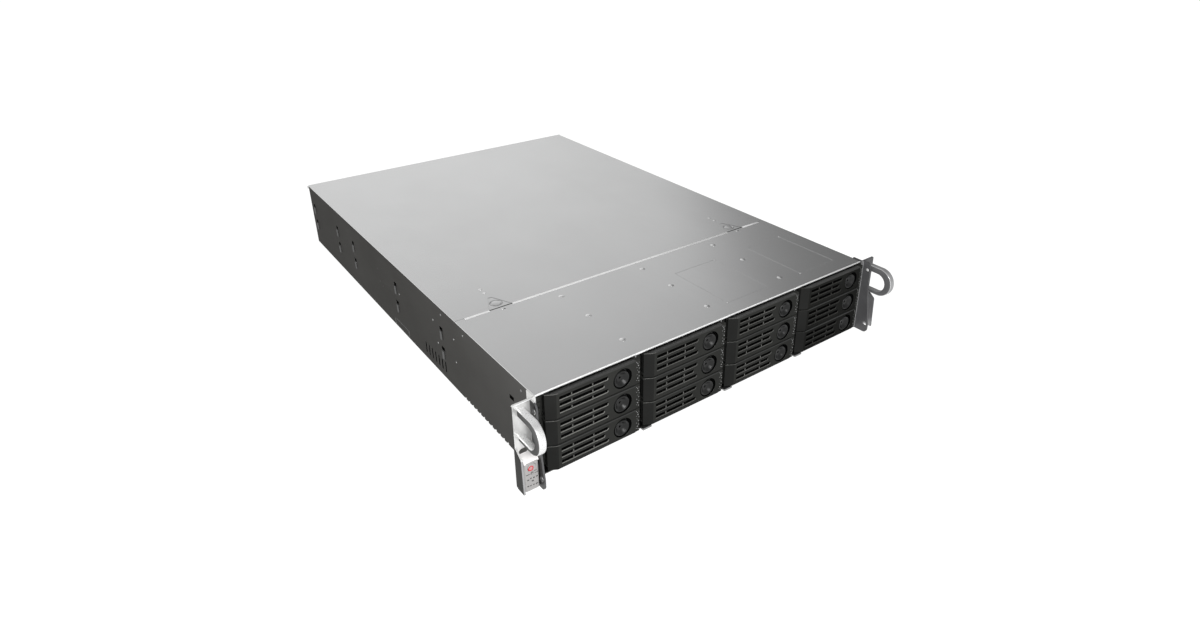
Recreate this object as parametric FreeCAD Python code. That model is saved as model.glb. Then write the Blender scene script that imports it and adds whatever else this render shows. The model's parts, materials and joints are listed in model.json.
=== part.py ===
"""Two-unit rackmount storage expansion unit: a steel chassis with hot-swap drive trays in a grid.

Millimetres. +X is to the right seen from the front, +Y runs to the rear, +Z is up. The origin is the
centre of the chassis underside.
"""
import FreeCAD, Part

import math
import os

# Drive and drive-tray sizes
drive_length = 146.5
drive_width = 101.6
drive_height = 26.1
drive_setback = 10.5
lid_inset = 3.0
lid_height = 0.8
columns = 4
rows = 3
rail_wall = 2.1
rail_side_gap = 0.975
row_gap = 1.7
divider_sheet = 1.0
rail_inset = 2.1
rail_tail = 4.0

# Chassis sizes
sheet = 1.0
floor_gap = 1.8
roof_gap = 1.8
body_depth = 648.0
front_roof_depth = 153.7
seam_gap = 0.4
rear_overhang = 1.5
slip_gap = 0.3
lip_height = 10.0
groove_width = 1.6
hem_drop = 1.2
overrun = 1.0

# Lever, release button and hinge sizes
lever_left = 8.0
lever_forward = 6.0
lever_thickness = 5.2
lever_chamfer_run = 9.0
lever_right_gap = 0.4
lever_row_gap = 1.2
lever_bevel_height = 0.9
lever_bevel_depth = 0.6
lever_corner_radius = 8.0
post_width = 2.775
post_setback = 1.0
post_lip_reach = 2.0
tray_wall_set = 8.0
tray_wall = 1.6
hinge_set = 12.0
hinge_depth = 3.0
hinge_pin_radius = 1.5
pin_clearance = 0.05
knuckle_radius = 3.0
lug_height = 1.8
lug_inset = 1.2
slot_rows = 3
slot_row_pitch = 6.8
slot_height = 3.9
slot_slope = 0.9
slot_lift = 0.6
slot_start = 20.2
slot_left_run = 12.0
slot_middle_run = 21.0
slot_right_run = 16.0
slot_rib = 1.4
middle_slot_short = 4.2
button_place = 88.6
button_radius = 8.4
button_ring = 10.5
button_ring_depth = 2.2
button_recess = 1.5
button_dish_radius = 7.8
button_dish_depth = 2.6
button_flange = 1.2
button_flange_thickness = 1.2
button_pin_hole = 1.1

# Front indicator, ear and handle sizes
ear_reach = 22.8
rack_hole_inset = 8.75
rack_hole_height = 38.1
rack_slot_radius = 3.4
rack_slot_length = 10.5
ear_sheet = 2.0
ear_bottom = 0.4
ear_top_drop = 0.2
ear_corner = 1.0
ear_leaf_depth = 10.0
ear_leaf_rise = 0.8
fin_sheet = 1.8
fin_gap = 3.9
fin_high_depth = 10.5
fin_low_depth = 17.5
fin_shoulder = 58.0
fin_foot = 12.0
fin_top_radius = 6.0
fin_bend_radius = 15.0
fin_bottom_radius = 5.0
fin_hole_radius = 2.6
fin_hole_edge = 4.2
fin_hole_inset = 9.5
fin_low_hole_inset = 11.1
ear_wall_sheet = 1.8
ear_wall_depth = 11.0
ear_wall_top_depth = 9.5
ear_wall_top = 37.5
ear_wall_rise = 7.5
ear_wall_radius = 2.5
handle_inset = 4.6
handle_width = 7.4
handle_drop = 5.6
handle_height = 33.4
handle_reach = 35.0
handle_bend = 16.0
handle_top_wall = 5.0
handle_bottom_wall = 3.6
handle_front_wall = 7.6
handle_hole_bend = 11.5
handle_foot_bend = 8.0
handle_edge_bevel = 1.2
panel_top = 33.0
panel_bottom = 2.4
panel_depth = 10.5
panel_corner = 2.5
power_radius = 4.0
power_drop = 6.0
power_depth = 4.0
power_proud = 0.4
power_well = 6.5
reset_radius = 0.9
reset_drop = 12.4

# Side wall openings, measured from the front edge and the underside; a setback is from the rear edge
hook_stations = (193.0, 320.0)
rear_hook_setbacks = (182.0, 118.0, 16.0)
hook_heights = (37.5, 62.0)
front_hook_station = 42.0
hook_length = 8.0
hook_height = 4.5
hook_tab_width = 4.4
hook_tab_height = 10.4
hook_tab_proud = 0.9
vent_count = 7
vent_start = 190.0
vent_pitch = 8.5
vent_width = 3.2
vent_low = 8.4
vent_high = 21.5
notch_count = 12
notch_start = 55.3
notch_pitch = 8.15
notch_width = 3.2
notch_height = 3.0

# Cover latch and rivet sizes
latch_place = 167.0
latch_set = 10.3
latch_radius = 6.5
latch_thickness = 1.9
latch_sink = 0.5
latch_pan_width = 26.0
latch_pan_tip = 4.0
latch_pan_depth = 24.0
latch_pan_drop = 1.8
tongue_depth = 6.0
tongue_inset = 8.5
rivet_front = 26.7
rivet_middle = 84.0
rivet_back = 134.5
rivet_offset = 4.0
rivet_shank = 1.6
rivet_head = 3.2
rivet_crown = 1.8
rivet_head_height = 0.9
rivet_tail = 2.6
rivet_tail_height = 0.5
flange_width = 8.0

# Backplane, fan and fan-wall sizes
connector_gap = 1.5
connector_depth = 6.5
connector_width = 42.0
connector_height = 6.0
board_thickness = 2.4
board_side_gap = 2.5
board_vent_width = 40.0
board_vent_height = 9.0
fan_count = 3
fan_pitch = 136.0
fan_size = 80.0
fan_depth = 38.0
fan_bore_radius = 38.0
fan_blade_radius = 36.6
fan_hub_radius = 19.0
fan_hub_depth = 20.0
fan_shaft_radius = 2.0
fan_strut_width = 5.0
fan_strut_depth = 4.0
fan_blades = 7
fan_blade_chord = 17.0
fan_blade_thickness = 1.4
fan_blade_pitch = 38.0
fan_lead = 5.0
fan_wall_sheet = 1.2
fan_wall_gap = 22.0
fan_window = 77.0

# Power supply, rear panel and control board sizes
psu_width = 54.5
psu_height = 40.2
psu_length = 320.0
psu_gap = 0.3
psu_inset = 2.1
psu_shelf = 1.0
psu_handle_reach = 20.0
psu_handle_bar = 5.0
psu_handle_width = 34.0
psu_handle_height = 16.0
psu_handle_lift = 6.0
psu_inlet_width = 24.0
psu_inlet_height = 15.0
psu_inlet_depth = 14.0
psu_latch_width = 8.0
psu_latch_height = 12.0
psu_latch_depth = 9.0
psu_latch_travel = 3.0
psu_latch_corner = 1.0
rear_vent_columns = 16
rear_vent_rows = 2
rear_vent_pitch = 21.0
rear_vent_length = 16.0
rear_vent_height = 5.0
rear_vent_row_pitch = 12.0
rear_vent_low = 56.0
port_count = 2
port_pitch = 32.0
port_width = 26.0
port_height = 13.0
port_depth = 34.0
port_shell = 2.0
port_margin = 1.0
control_width = 250.0
control_depth = 180.0
control_left_gap = 26.0
control_rear_gap = 6.0
control_thickness = 1.6
standoff_height = 6.0
standoff_radius = 3.0
standoff_inset = 8.0
heatsink_size = 40.0
heatsink_height = 16.0
heatsink_fins = 7

# Places worked out from the sizes above
column_pitch = drive_width + 2 * (rail_wall + rail_side_gap) + divider_sheet
row_pitch = drive_height + row_gap
inner_side = columns * column_pitch / 2
side = inner_side + sheet
front = -body_depth / 2
rear = body_depth / 2
first_row = sheet + floor_gap
slot_runs = (slot_left_run, slot_middle_run, slot_right_run)
rivet_stations = (rivet_front, rivet_middle, rivet_back)
roof = first_row + rows * row_pitch + roof_gap
top = roof + sheet
seam = front + front_roof_depth
panel_face = rear - rear_overhang
panel_back = panel_face - sheet
rail_start = rail_side_gap + divider_sheet / 2
rail_end = column_pitch - rail_start
drive_front = front + drive_setback
drive_back = drive_front + drive_length
rail_back = drive_back + rail_tail
board_face = drive_back + connector_gap + connector_depth
board_back = board_face + board_thickness
fan_wall_face = board_back + fan_wall_gap
fan_front = fan_wall_face + fan_wall_sheet
fan_middle = (sheet + roof) / 2
lever_right = rail_end - post_width - lever_right_gap
lever_front = front - lever_forward
lever_back = lever_front + lever_thickness
tray_wall_front = front + tray_wall_set
hinge_y = front + hinge_depth
flange_outer = side + ear_reach
rack_hole_x = flange_outer - rack_hole_inset
ear_front = front - ear_sheet
ear_top = top - ear_top_drop
fin_inner = side + fin_gap
fin_outer = fin_inner + fin_sheet
handle_outer = flange_outer - handle_inset
handle_inner = handle_outer - handle_width
handle_top = ear_top - handle_drop
handle_bottom = handle_top - handle_height
psu_right = inner_side - psu_inset
psu_left = psu_right - psu_width
psu_front = panel_face - psu_length
bay_wall_right = psu_left - psu_gap
bay_wall_left = bay_wall_right - sheet
psu_floors = (sheet + psu_gap, sheet + psu_height + psu_shelf + 3 * psu_gap)


def vector(point):
    return FreeCAD.Vector(*point)


def block(x, y, z):
    """A box between a low and a high value on each axis."""
    return Part.makeBox(x[1] - x[0], y[1] - y[0], z[1] - z[0], vector((x[0], y[0], z[0])))


def rod(radius, start, axis, length):
    return Part.makeCylinder(radius, length, vector(start), vector(axis))


def outline(corners, place):
    """A closed wire through corners (a, b, radius) with tangent arcs; place gives the point of (a, b)."""
    stops = []
    for index, (a, b, radius) in enumerate(corners):
        here = FreeCAD.Vector(a, b, 0)
        before = FreeCAD.Vector(*corners[index - 1][:2], 0) - here
        after = FreeCAD.Vector(*corners[(index + 1) % len(corners)][:2], 0) - here
        before.normalize()
        after.normalize()
        half = math.acos(max(-1.0, min(1.0, before.dot(after)))) / 2
        run = radius / math.tan(half)
        bisector = (before + after).normalize()
        middle = here + bisector * (radius / math.sin(half) - radius)
        stops.append((here + before * run, middle, here + after * run, radius))
    edges = []
    for index, (start, middle, end, radius) in enumerate(stops):
        if radius > 0:
            arc = Part.Arc(place(start), place(middle), place(end))
            edges.append(arc.toShape())
        following = stops[(index + 1) % len(stops)][0]
        if (following - end).Length > 1e-6:
            edges.append(Part.LineSegment(place(end), place(following)).toShape())
    return Part.Wire(edges)


def prism_z(corners, z):
    """An outline in the X-Y plane carried up from the low to the high value of z."""
    wire = outline(corners, lambda p: FreeCAD.Vector(p.x, p.y, z[0]))
    return Part.Face(wire).extrude(FreeCAD.Vector(0, 0, z[1] - z[0]))


def prism_x(corners, x):
    """An outline in the Y-Z plane carried along from the low to the high value of x."""
    wire = outline(corners, lambda p: FreeCAD.Vector(x[0], p.x, p.y))
    return Part.Face(wire).extrude(FreeCAD.Vector(x[1] - x[0], 0, 0))


def prism_y(corners, y):
    """An outline in the X-Z plane carried along from the low to the high value of y."""
    wire = outline(corners, lambda p: FreeCAD.Vector(p.x, y[0], p.y))
    return Part.Face(wire).extrude(FreeCAD.Vector(0, y[1] - y[0], 0))


def joined(first, others):
    return first.fuse(others).removeSplitter()


def mirrored(shape):
    return shape.mirror(FreeCAD.Vector(0, 0, 0), FreeCAD.Vector(1, 0, 0))


def save(name, shape):
    shape.exportStep("parts/" + name + ".step")


def column_left(column):
    return -inner_side + column * column_pitch


def row_floor(row):
    return first_row + (rows - 1 - row) * row_pitch


def divider_places():
    return [column_left(column) for column in range(1, columns)]


def chassis_pan():
    """The folded floor and side walls, with rail hook slots and tabs, vents and edge notches."""
    wall_top = roof - slip_gap
    shell = block((-side, side), (front, panel_face), (0, wall_top))
    hollow = block((-inner_side, inner_side), (front - sheet, panel_face + sheet), (sheet, wall_top + sheet))
    pan = shell.cut(hollow)
    across = (-side - sheet, side + sheet)
    holes = []
    stations = list(hook_stations) + [body_depth - setback for setback in rear_hook_setbacks]
    places = [(station, height) for station in stations for height in hook_heights]
    tabs = []
    for station, height in places:
        low_y = front + station - hook_tab_width / 2
        high_z = height - hook_height / 2 - slip_gap
        tabs.append(block((inner_side + sheet / 2, side + hook_tab_proud), (low_y, low_y + hook_tab_width),
                          (high_z - hook_tab_height, high_z)))
    pan = joined(pan, tabs + [mirrored(tab) for tab in tabs])
    places.append((front_hook_station, hook_heights[-1]))
    for station, height in places:
        low_y = front + station - hook_length / 2
        low_z = height - hook_height / 2
        holes.append(block(across, (low_y, low_y + hook_length), (low_z, low_z + hook_height)))
    for index in range(vent_count):
        low_y = front + vent_start + index * vent_pitch
        holes.append(block(across, (low_y, low_y + vent_width), (vent_low, vent_high)))
    for index in range(notch_count):
        low_y = front + notch_start + index * notch_pitch
        for edge in (-side, inner_side):
            holes.append(block((edge, edge + sheet), (low_y, low_y + notch_width), (0, notch_height)))
    return pan.cut(holes)


def rivet_places():
    return [(x + rivet_offset, front + y) for x in divider_places() for y in rivet_stations]


def front_top_cover():
    """The fixed top sheet over the drive bays, with a front hem, side lips, a seam groove and a tongue."""
    lip_y = (front + sheet, seam - sheet)
    lip_z = (roof - lip_height, roof)
    pieces = [block((-inner_side, -inner_side + sheet), lip_y, lip_z)]
    pieces.append(block((inner_side - sheet, inner_side), lip_y, lip_z))
    hem_end = inner_side - slip_gap
    pieces.append(block((-hem_end, hem_end), (front, front + sheet), (roof - hem_drop, roof)))
    tongue = block((-side + tongue_inset, side - tongue_inset), (seam - tongue_depth, seam + tongue_depth),
                   (roof - sheet - slip_gap, roof - slip_gap))
    bridge = block((-side + tongue_inset, side - tongue_inset), (seam - tongue_depth, seam - slip_gap),
                   (roof - slip_gap, roof))
    notch_half = latch_pan_width / 2 + sheet + slip_gap
    for place in (-latch_place, latch_place):
        tongue = tongue.cut(block((place - notch_half, place + notch_half), (seam, seam + tongue_depth),
                                  (roof - 2 * sheet, roof)))
    plate = block((-side, side), (front, seam), (roof, top))
    cover = joined(plate, pieces + [tongue, bridge])
    holes = [rod(rivet_shank, (x, y, roof - sheet), (0, 0, 1), 3 * sheet) for x, y in rivet_places()]
    groove_end = side - tongue_inset - sheet
    groove = block((-groove_end, groove_end), (seam - groove_width, seam + overrun),
                   (roof, top + overrun))
    return cover.cut(holes + [groove])


def cage_rivets():
    """Raised rivets through the front top sheet and the divider flanges."""
    rivets = []
    for x, y in rivet_places():
        shank = rod(rivet_shank, (x, y, roof - sheet), (0, 0, 1), 2 * sheet)
        tail = rod(rivet_tail, (x, y, roof - sheet - rivet_tail_height), (0, 0, 1), rivet_tail_height)
        head = Part.makeCone(rivet_head, rivet_crown, rivet_head_height, FreeCAD.Vector(x, y, top))
        rivets.append(joined(shank, [tail, head]))
    return Part.makeCompound(rivets)


def guide_ledges(base_x, direction, ledge_reach):
    """The folded ledges on one face of a divider, one under each row of trays."""
    reach = base_x + direction * ledge_reach
    span = (min(base_x, reach), max(base_x, reach))
    along = (tray_wall_front + tray_wall + 2 * slip_gap, drive_back)
    ledges = []
    for row in range(rows):
        top_z = row_floor(row) + rail_inset - slip_gap
        ledges.append(block(span, along, (top_z - divider_sheet, top_z)))
    return ledges


def drive_cage():
    """Three upright dividers with a riveted top flange and a guide plate on each side wall."""
    reach = rail_start + rail_wall - divider_sheet / 2 - slip_gap
    depth = (front + sheet, board_face)
    pieces = []
    for x in divider_places():
        web_x = (x - divider_sheet / 2, x + divider_sheet / 2)
        flange_y = (depth[0], seam - tongue_depth - slip_gap)
        web = block(web_x, depth, (sheet, roof - lip_height / 2))
        crest = block(web_x, flange_y, (roof - lip_height / 2, roof))
        flange = block((x, x + flange_width), flange_y, (roof - sheet, roof))
        ledges = guide_ledges(web_x[0], -1, reach) + guide_ledges(web_x[1], 1, reach)
        divider = joined(web, [crest, flange] + ledges)
        holes = [rod(rivet_shank, (x + rivet_offset, front + y, roof - 2 * sheet), (0, 0, 1), 3 * sheet)
                 for y in rivet_stations]
        pieces.append(divider.cut(holes))
    plate_thickness = rail_side_gap - slip_gap
    plate_depth = (tray_wall_front + tray_wall + 2 * slip_gap, board_face)
    plate_top = roof - lip_height - slip_gap
    left = block((-inner_side, -inner_side + plate_thickness), plate_depth, (sheet, plate_top))
    ledge_reach = rail_start + rail_wall - plate_thickness - slip_gap
    left = joined(left, guide_ledges(-inner_side + plate_thickness, 1, ledge_reach))
    return Part.makeCompound(pieces + [left, mirrored(left)])


def drive_block(x, z):
    """One disk drive: a cast base with a lid set in from its edges."""
    base = block((x, x + drive_width), (drive_front, drive_back), (z, z + drive_height - lid_height))
    lid = block((x + lid_inset, x + drive_width - lid_inset),
                (drive_front + lid_inset, drive_back - lid_inset),
                (z + drive_height - lid_height, z + drive_height))
    return joined(base, [lid])


def tray_holder(column, row):
    """The tray frame with its lipped light-pipe post and hinge pin, and the drive between its rails."""
    left = column_left(column)
    floor = row_floor(row)
    rail_z = (floor + rail_inset, floor + row_pitch - rail_inset - 2 * slip_gap)
    wall_z = (floor + 2 * slip_gap, floor + row_pitch - 2 * slip_gap)
    wall_y = (tray_wall_front, tray_wall_front + tray_wall)
    rail_y = (wall_y[0], rail_back)
    frame = [block((left + rail_start, left + rail_start + rail_wall), rail_y, rail_z)]
    frame.append(block((left + rail_end - rail_wall, left + rail_end), rail_y, rail_z))
    post_left = left + rail_end - post_width
    post_front = lever_front + post_setback
    frame.append(block((post_left, left + rail_end), (post_front, wall_y[1]), wall_z))
    frame.append(block((post_left, left + rail_end + post_lip_reach), (post_front, lever_back), wall_z))
    pin_place = (left + hinge_set, hinge_y)
    lug_floors = (wall_z[0] + lug_inset, wall_z[1] - lug_inset - lug_height)
    lug_half = knuckle_radius - slip_gap
    for low in lug_floors:
        frame.append(rod(knuckle_radius, (*pin_place, low), (0, 0, 1), lug_height))
        frame.append(block((pin_place[0] - lug_half, pin_place[0] + lug_half), (hinge_y, wall_y[1]),
                           (low, low + lug_height)))
    frame.append(rod(hinge_pin_radius, (*pin_place, lug_floors[0]), (0, 0, 1), lug_floors[1] - lug_floors[0]))
    wall = block((left + rail_start, left + rail_end), wall_y, wall_z)
    window_z = (wall_z[0] + rail_inset, wall_z[1] - rail_inset)
    start = left + slot_start
    windows = []
    for run in slot_runs:
        windows.append(block((start, start + run), (wall_y[0] - overrun, wall_y[1] + overrun), window_z))
        start += run + slot_rib
    wall = wall.cut(windows)
    drive_x = left + rail_start + rail_wall
    drive_z = floor + (row_pitch - drive_height) / 2
    return Part.makeCompound([joined(wall, frame), drive_block(drive_x, drive_z)])


def slot_section(centre):
    """The side view of one grille slot: level above, with a lower lip that slopes up to the rear."""
    low = centre - slot_height / 2
    high = centre + slot_height / 2
    return [(lever_front - overrun, low - slot_slope, 0), (lever_back + overrun, low + slot_slope, 0),
            (lever_back + overrun, high, 0), (lever_front - overrun, high, 0)]


def tray_lever(column, row):
    """The chamfered, louvred front lever that swings out about the hinge at its left end."""
    left = column_left(column)
    floor = row_floor(row)
    low = floor + lever_row_gap / 2
    high = floor + row_pitch - lever_row_gap / 2
    middle = (low + high) / 2
    plan = [(left + lever_left, lever_back, 0),
            (left + lever_left + lever_chamfer_run, lever_front, lever_corner_radius),
            (left + lever_right, lever_front, 0), (left + lever_right, lever_back, 0)]
    section = [(lever_back, low, 0), (lever_back, high, 0), (lever_front + lever_bevel_depth, high, 0),
               (lever_front, high - lever_bevel_height, 0), (lever_front, low + lever_bevel_height, 0),
               (lever_front + lever_bevel_depth, low, 0)]
    lever = prism_z(plan, (low, high)).common(prism_x(section, (left, left + column_pitch)))
    cuts = []
    for index in range(slot_rows):
        centre = middle + slot_lift + (index - (slot_rows - 1) / 2) * slot_row_pitch
        start = left + slot_start
        for run_index, run in enumerate(slot_runs):
            last = run_index == len(slot_runs) - 1
            shorter = middle_slot_short if last and index == slot_rows // 2 else 0
            cuts.append(prism_x(slot_section(centre), (start, start + run - shorter)))
            start += run + slot_rib
    ahead = (left + button_place, lever_front - overrun, middle)
    cuts.append(rod(button_radius + slip_gap, ahead, (0, 1, 0), lever_thickness + 2 * overrun))
    cuts.append(rod(button_ring, ahead, (0, 1, 0), overrun + button_ring_depth))
    lever = lever.cut(cuts)
    lug_top = 2 * slip_gap + lug_inset + lug_height + slip_gap
    knuckle_z = (floor + lug_top, floor + row_pitch - lug_top)
    pin_place = (left + hinge_set, hinge_y)
    knuckle = rod(knuckle_radius, (*pin_place, knuckle_z[0]), (0, 0, 1), knuckle_z[1] - knuckle_z[0])
    arm = block((pin_place[0] - knuckle_radius, pin_place[0] + knuckle_radius), (lever_back, hinge_y),
                knuckle_z)
    bore = rod(hinge_pin_radius + pin_clearance, (*pin_place, floor), (0, 0, 1), row_pitch)
    return joined(lever, [knuckle, arm]).cut(bore)


def release_button(column, row):
    """The dished round button in the lever, held from behind by its flange."""
    left = column_left(column)
    floor = row_floor(row)
    centre_x = left + button_place
    centre_z = floor + row_pitch / 2
    face = lever_front + button_recess
    flange_front = lever_back + slip_gap
    body = rod(button_radius, (centre_x, face, centre_z), (0, 1, 0), flange_front - face)
    flange = rod(button_radius + button_flange, (centre_x, flange_front, centre_z), (0, 1, 0),
                 button_flange_thickness)
    ball = (button_dish_radius ** 2 + button_dish_depth ** 2) / (2 * button_dish_depth)
    dish = Part.makeSphere(ball, FreeCAD.Vector(centre_x, face + button_dish_depth - ball, centre_z))
    key = rod(button_pin_hole, (centre_x, face, centre_z), (0, 1, 0), button_dish_depth + button_pin_hole)
    return joined(body, [flange]).cut([dish, key])


def backplane():
    """The upright circuit board with a connector behind every drive and air slots between them."""
    x = (-inner_side + board_side_gap, inner_side - board_side_gap)
    z = (first_row, roof - lip_height)
    board = block(x, (board_face, board_back), z)
    slots = []
    connectors = []
    for column in range(columns):
        middle = column_left(column) + column_pitch / 2
        for row in range(rows):
            floor = row_floor(row)
            low = floor + rail_inset
            half = connector_width / 2
            connectors.append(block((middle - half, middle + half),
                                    (board_face - connector_depth, board_face),
                                    (low, low + connector_height)))
            slot_low = low + connector_height + rail_inset
            slots.append(block((middle - board_vent_width / 2, middle + board_vent_width / 2),
                               (board_face - overrun, board_back + overrun),
                               (slot_low, slot_low + board_vent_height)))
    return joined(board.cut(slots), connectors)


def fan_centres():
    return [(index - (fan_count - 1) / 2) * fan_pitch for index in range(fan_count)]


def fan_wall():
    """The upright sheet that carries the fans, with a foot folded to the rear."""
    x = (-inner_side + board_side_gap, inner_side - board_side_gap)
    high = roof - lip_height + 2 * board_side_gap
    wall = block(x, (fan_wall_face, fan_front), (sheet, high))
    foot = block(x, (fan_wall_face - fan_depth / 4, fan_front), (sheet, sheet + fan_wall_sheet))
    half = fan_window / 2
    windows = [block((centre - half, centre + half), (fan_wall_face - overrun, fan_front + overrun),
                     (fan_middle - half, fan_middle + half)) for centre in fan_centres()]
    return joined(wall, [foot]).cut(windows)


def fan_frames():
    """Square fan frames with a round duct, rear struts, motor disc and shaft."""
    frames = []
    half = fan_size / 2
    back = fan_front + fan_depth
    strut_y = (back - fan_strut_depth, back)
    for centre in fan_centres():
        square = block((centre - half, centre + half), (fan_front, back),
                       (fan_middle - half, fan_middle + half))
        duct = rod(fan_bore_radius, (centre, fan_front - overrun, fan_middle), (0, 1, 0),
                   fan_depth + 2 * overrun)
        struts = [block((centre - fan_strut_width / 2, centre + fan_strut_width / 2), strut_y,
                        (fan_middle - half, fan_middle + half)),
                  block((centre - half, centre + half), strut_y,
                        (fan_middle - fan_strut_width / 2, fan_middle + fan_strut_width / 2)),
                  rod(fan_hub_radius, (centre, strut_y[0], fan_middle), (0, 1, 0), fan_strut_depth)]
        shaft_start = fan_front + fan_lead + fan_hub_depth / 2
        struts.append(rod(fan_shaft_radius, (centre, shaft_start, fan_middle), (0, 1, 0), back - shaft_start))
        frames.append(joined(square.cut(duct), struts))
    return Part.makeCompound(frames)


def fan_rotor(centre):
    """A hub on the shaft with pitched blades."""
    start = fan_front + fan_lead
    hub = rod(fan_hub_radius, (centre, start, fan_middle), (0, 1, 0), fan_hub_depth)
    blades = []
    for index in range(fan_blades):
        blade = block((-fan_blade_thickness / 2, fan_blade_thickness / 2),
                      (-fan_blade_chord / 2, fan_blade_chord / 2), (fan_hub_radius / 2, fan_blade_radius))
        blade.rotate(FreeCAD.Vector(0, 0, 0), FreeCAD.Vector(0, 0, 1), fan_blade_pitch)
        blade.rotate(FreeCAD.Vector(0, 0, 0), FreeCAD.Vector(0, 1, 0), index * 360 / fan_blades)
        blade.translate(FreeCAD.Vector(centre, start + fan_hub_depth / 2, fan_middle))
        blades.append(blade)
    tip = rod(fan_blade_radius, (centre, start, fan_middle), (0, 1, 0), fan_hub_depth)
    bore = rod(fan_shaft_radius + pin_clearance, (centre, start + fan_hub_depth / 2 - slip_gap, fan_middle),
               (0, 1, 0), fan_hub_depth)
    return joined(hub, blades).common(tip).cut(bore)


def rear_top_cover():
    """The sliding cover over the rear compartment, with side lips and a pan at each latch."""
    plate = block((-side, side), (seam + seam_gap, rear), (roof, top))
    lip_z = (roof - lip_height + board_side_gap, roof)
    lip_y = (seam + tongue_depth + latch_pan_depth, rear - 3 * latch_pan_depth / 2)
    left_lip = block((-inner_side + slip_gap, -inner_side + slip_gap + sheet), lip_y, lip_z)
    pans = []
    pockets = []
    for place in (-latch_place, latch_place):
        pan_front = seam + seam_gap
        tips = []
        for grow in (sheet, 0):
            tips.append([(place - latch_pan_width / 2 - grow, pan_front, 0),
                         (place + latch_pan_width / 2 + grow, pan_front, 0),
                         (place + latch_pan_tip / 2 + grow, pan_front + latch_pan_depth + grow, 0),
                         (place - latch_pan_tip / 2 - grow, pan_front + latch_pan_depth + grow, 0)])
        floor = top - latch_pan_drop
        pans.append(prism_z(tips[0], (floor - sheet, roof)))
        pockets.append(prism_z(tips[1], (floor, top + overrun)))
        pockets.append(rod(latch_radius + slip_gap, (place, seam + latch_set, floor - 2 * sheet), (0, 0, 1),
                           4 * sheet))
    return joined(plate, [left_lip, mirrored(left_lip)] + pans).cut(pockets)


def cover_latch(place):
    """The round push button of a cover latch."""
    high = top - latch_sink
    return rod(latch_radius, (place, seam + latch_set, high - latch_thickness), (0, 0, 1), latch_thickness)


def right_ear():
    """One rack ear: side leaf, slotted rack flange, forward fin with two holes and an outer wall."""
    z = (ear_bottom, ear_top)
    clipped = flange_outer - ear_corner
    flange = prism_y([(side, z[0], 0), (clipped, z[0], 0), (flange_outer, z[0] + ear_corner, 0),
                      (flange_outer, z[1] - ear_corner, 0), (clipped, z[1], 0), (side, z[1], 0)],
                     (ear_front, front))
    leaf = block((side, side + ear_sheet), (ear_front, front + ear_leaf_depth),
                 (z[0] + ear_sheet, top + ear_leaf_rise))
    fin_high = ear_front - fin_high_depth
    fin_low = ear_front - fin_low_depth
    fin = prism_x([(ear_front, z[0], 0), (ear_front, z[1], 0), (fin_high, z[1], fin_top_radius),
                   (fin_high, fin_shoulder, fin_bend_radius), (fin_low, fin_foot, 0),
                   (fin_low, z[0], fin_bottom_radius)], (fin_inner, fin_outer))
    wall = prism_x([(ear_front, z[0], 0), (ear_front, ear_wall_top + ear_wall_rise, 0),
                    (ear_front - ear_wall_top_depth, ear_wall_top, ear_wall_radius),
                    (ear_front - ear_wall_depth, z[0], 0)],
                   (flange_outer - ear_wall_sheet, flange_outer))
    ear = joined(flange, [leaf, fin, wall])
    holes = []
    low_hole = (fin_low + fin_hole_edge, z[0] + fin_low_hole_inset)
    high_hole = (fin_high + fin_hole_edge, z[1] - fin_hole_inset)
    for depth, height in (low_hole, high_hole):
        holes.append(rod(fin_hole_radius, (fin_inner - overrun, depth, height), (1, 0, 0),
                         fin_sheet + 2 * overrun))
    straight = rack_slot_length / 2 - rack_slot_radius
    ahead = ear_front - overrun
    for shift in (-straight, straight):
        holes.append(rod(rack_slot_radius, (rack_hole_x + shift, ahead, rack_hole_height), (0, 1, 0),
                         ear_sheet + 2 * overrun))
    holes.append(block((rack_hole_x - straight, rack_hole_x + straight), (ahead, front + overrun),
                       (rack_hole_height - rack_slot_radius, rack_hole_height + rack_slot_radius)))
    return ear.cut(holes)


def right_handle():
    """A cast loop handle: two flared feet on the ear flange joined by a rounded strap."""
    reach = ear_front - handle_reach
    outer = prism_x([(ear_front, handle_bottom, 0), (ear_front, handle_top, 0),
                     (reach, handle_top, handle_bend), (reach, handle_bottom, handle_bend)],
                    (handle_inner, handle_outer))
    hole_z = (handle_bottom + handle_bottom_wall, handle_top - handle_top_wall)
    hole_y = (reach + handle_front_wall, ear_front + overrun)
    hole = prism_x([(hole_y[1], hole_z[0], handle_foot_bend), (hole_y[1], hole_z[1], handle_foot_bend),
                    (hole_y[0], hole_z[1], handle_hole_bend), (hole_y[0], hole_z[0], handle_hole_bend)],
                   (handle_inner - overrun, handle_outer + overrun))
    loop = outer.cut(hole)
    rims = [edge for edge in loop.Edges if edge.BoundBox.XLength < 1e-6
            and edge.BoundBox.YMin < ear_front - 1e-6]
    return loop.makeChamfer(handle_edge_bevel, rims)


def control_panel():
    """The indicator housing in the lower half of the left ear, with a well for the power button."""
    x = (-(flange_outer - ear_wall_sheet - slip_gap), -(fin_outer + slip_gap))
    face = ear_front - panel_depth
    plan = [(x[0], ear_front, 0), (x[1], ear_front, 0), (x[1], face, panel_corner),
            (x[0], face, panel_corner)]
    housing = prism_z(plan, (panel_bottom, panel_top))
    centre = sum(x) / 2
    well = rod(power_radius + slip_gap, (centre, face - overrun, panel_top - power_drop), (0, 1, 0),
               overrun + power_well)
    pinhole = rod(reset_radius, (centre, face - overrun, panel_top - reset_drop), (0, 1, 0),
                  overrun + power_well)
    return housing.cut([well, pinhole])


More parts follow.
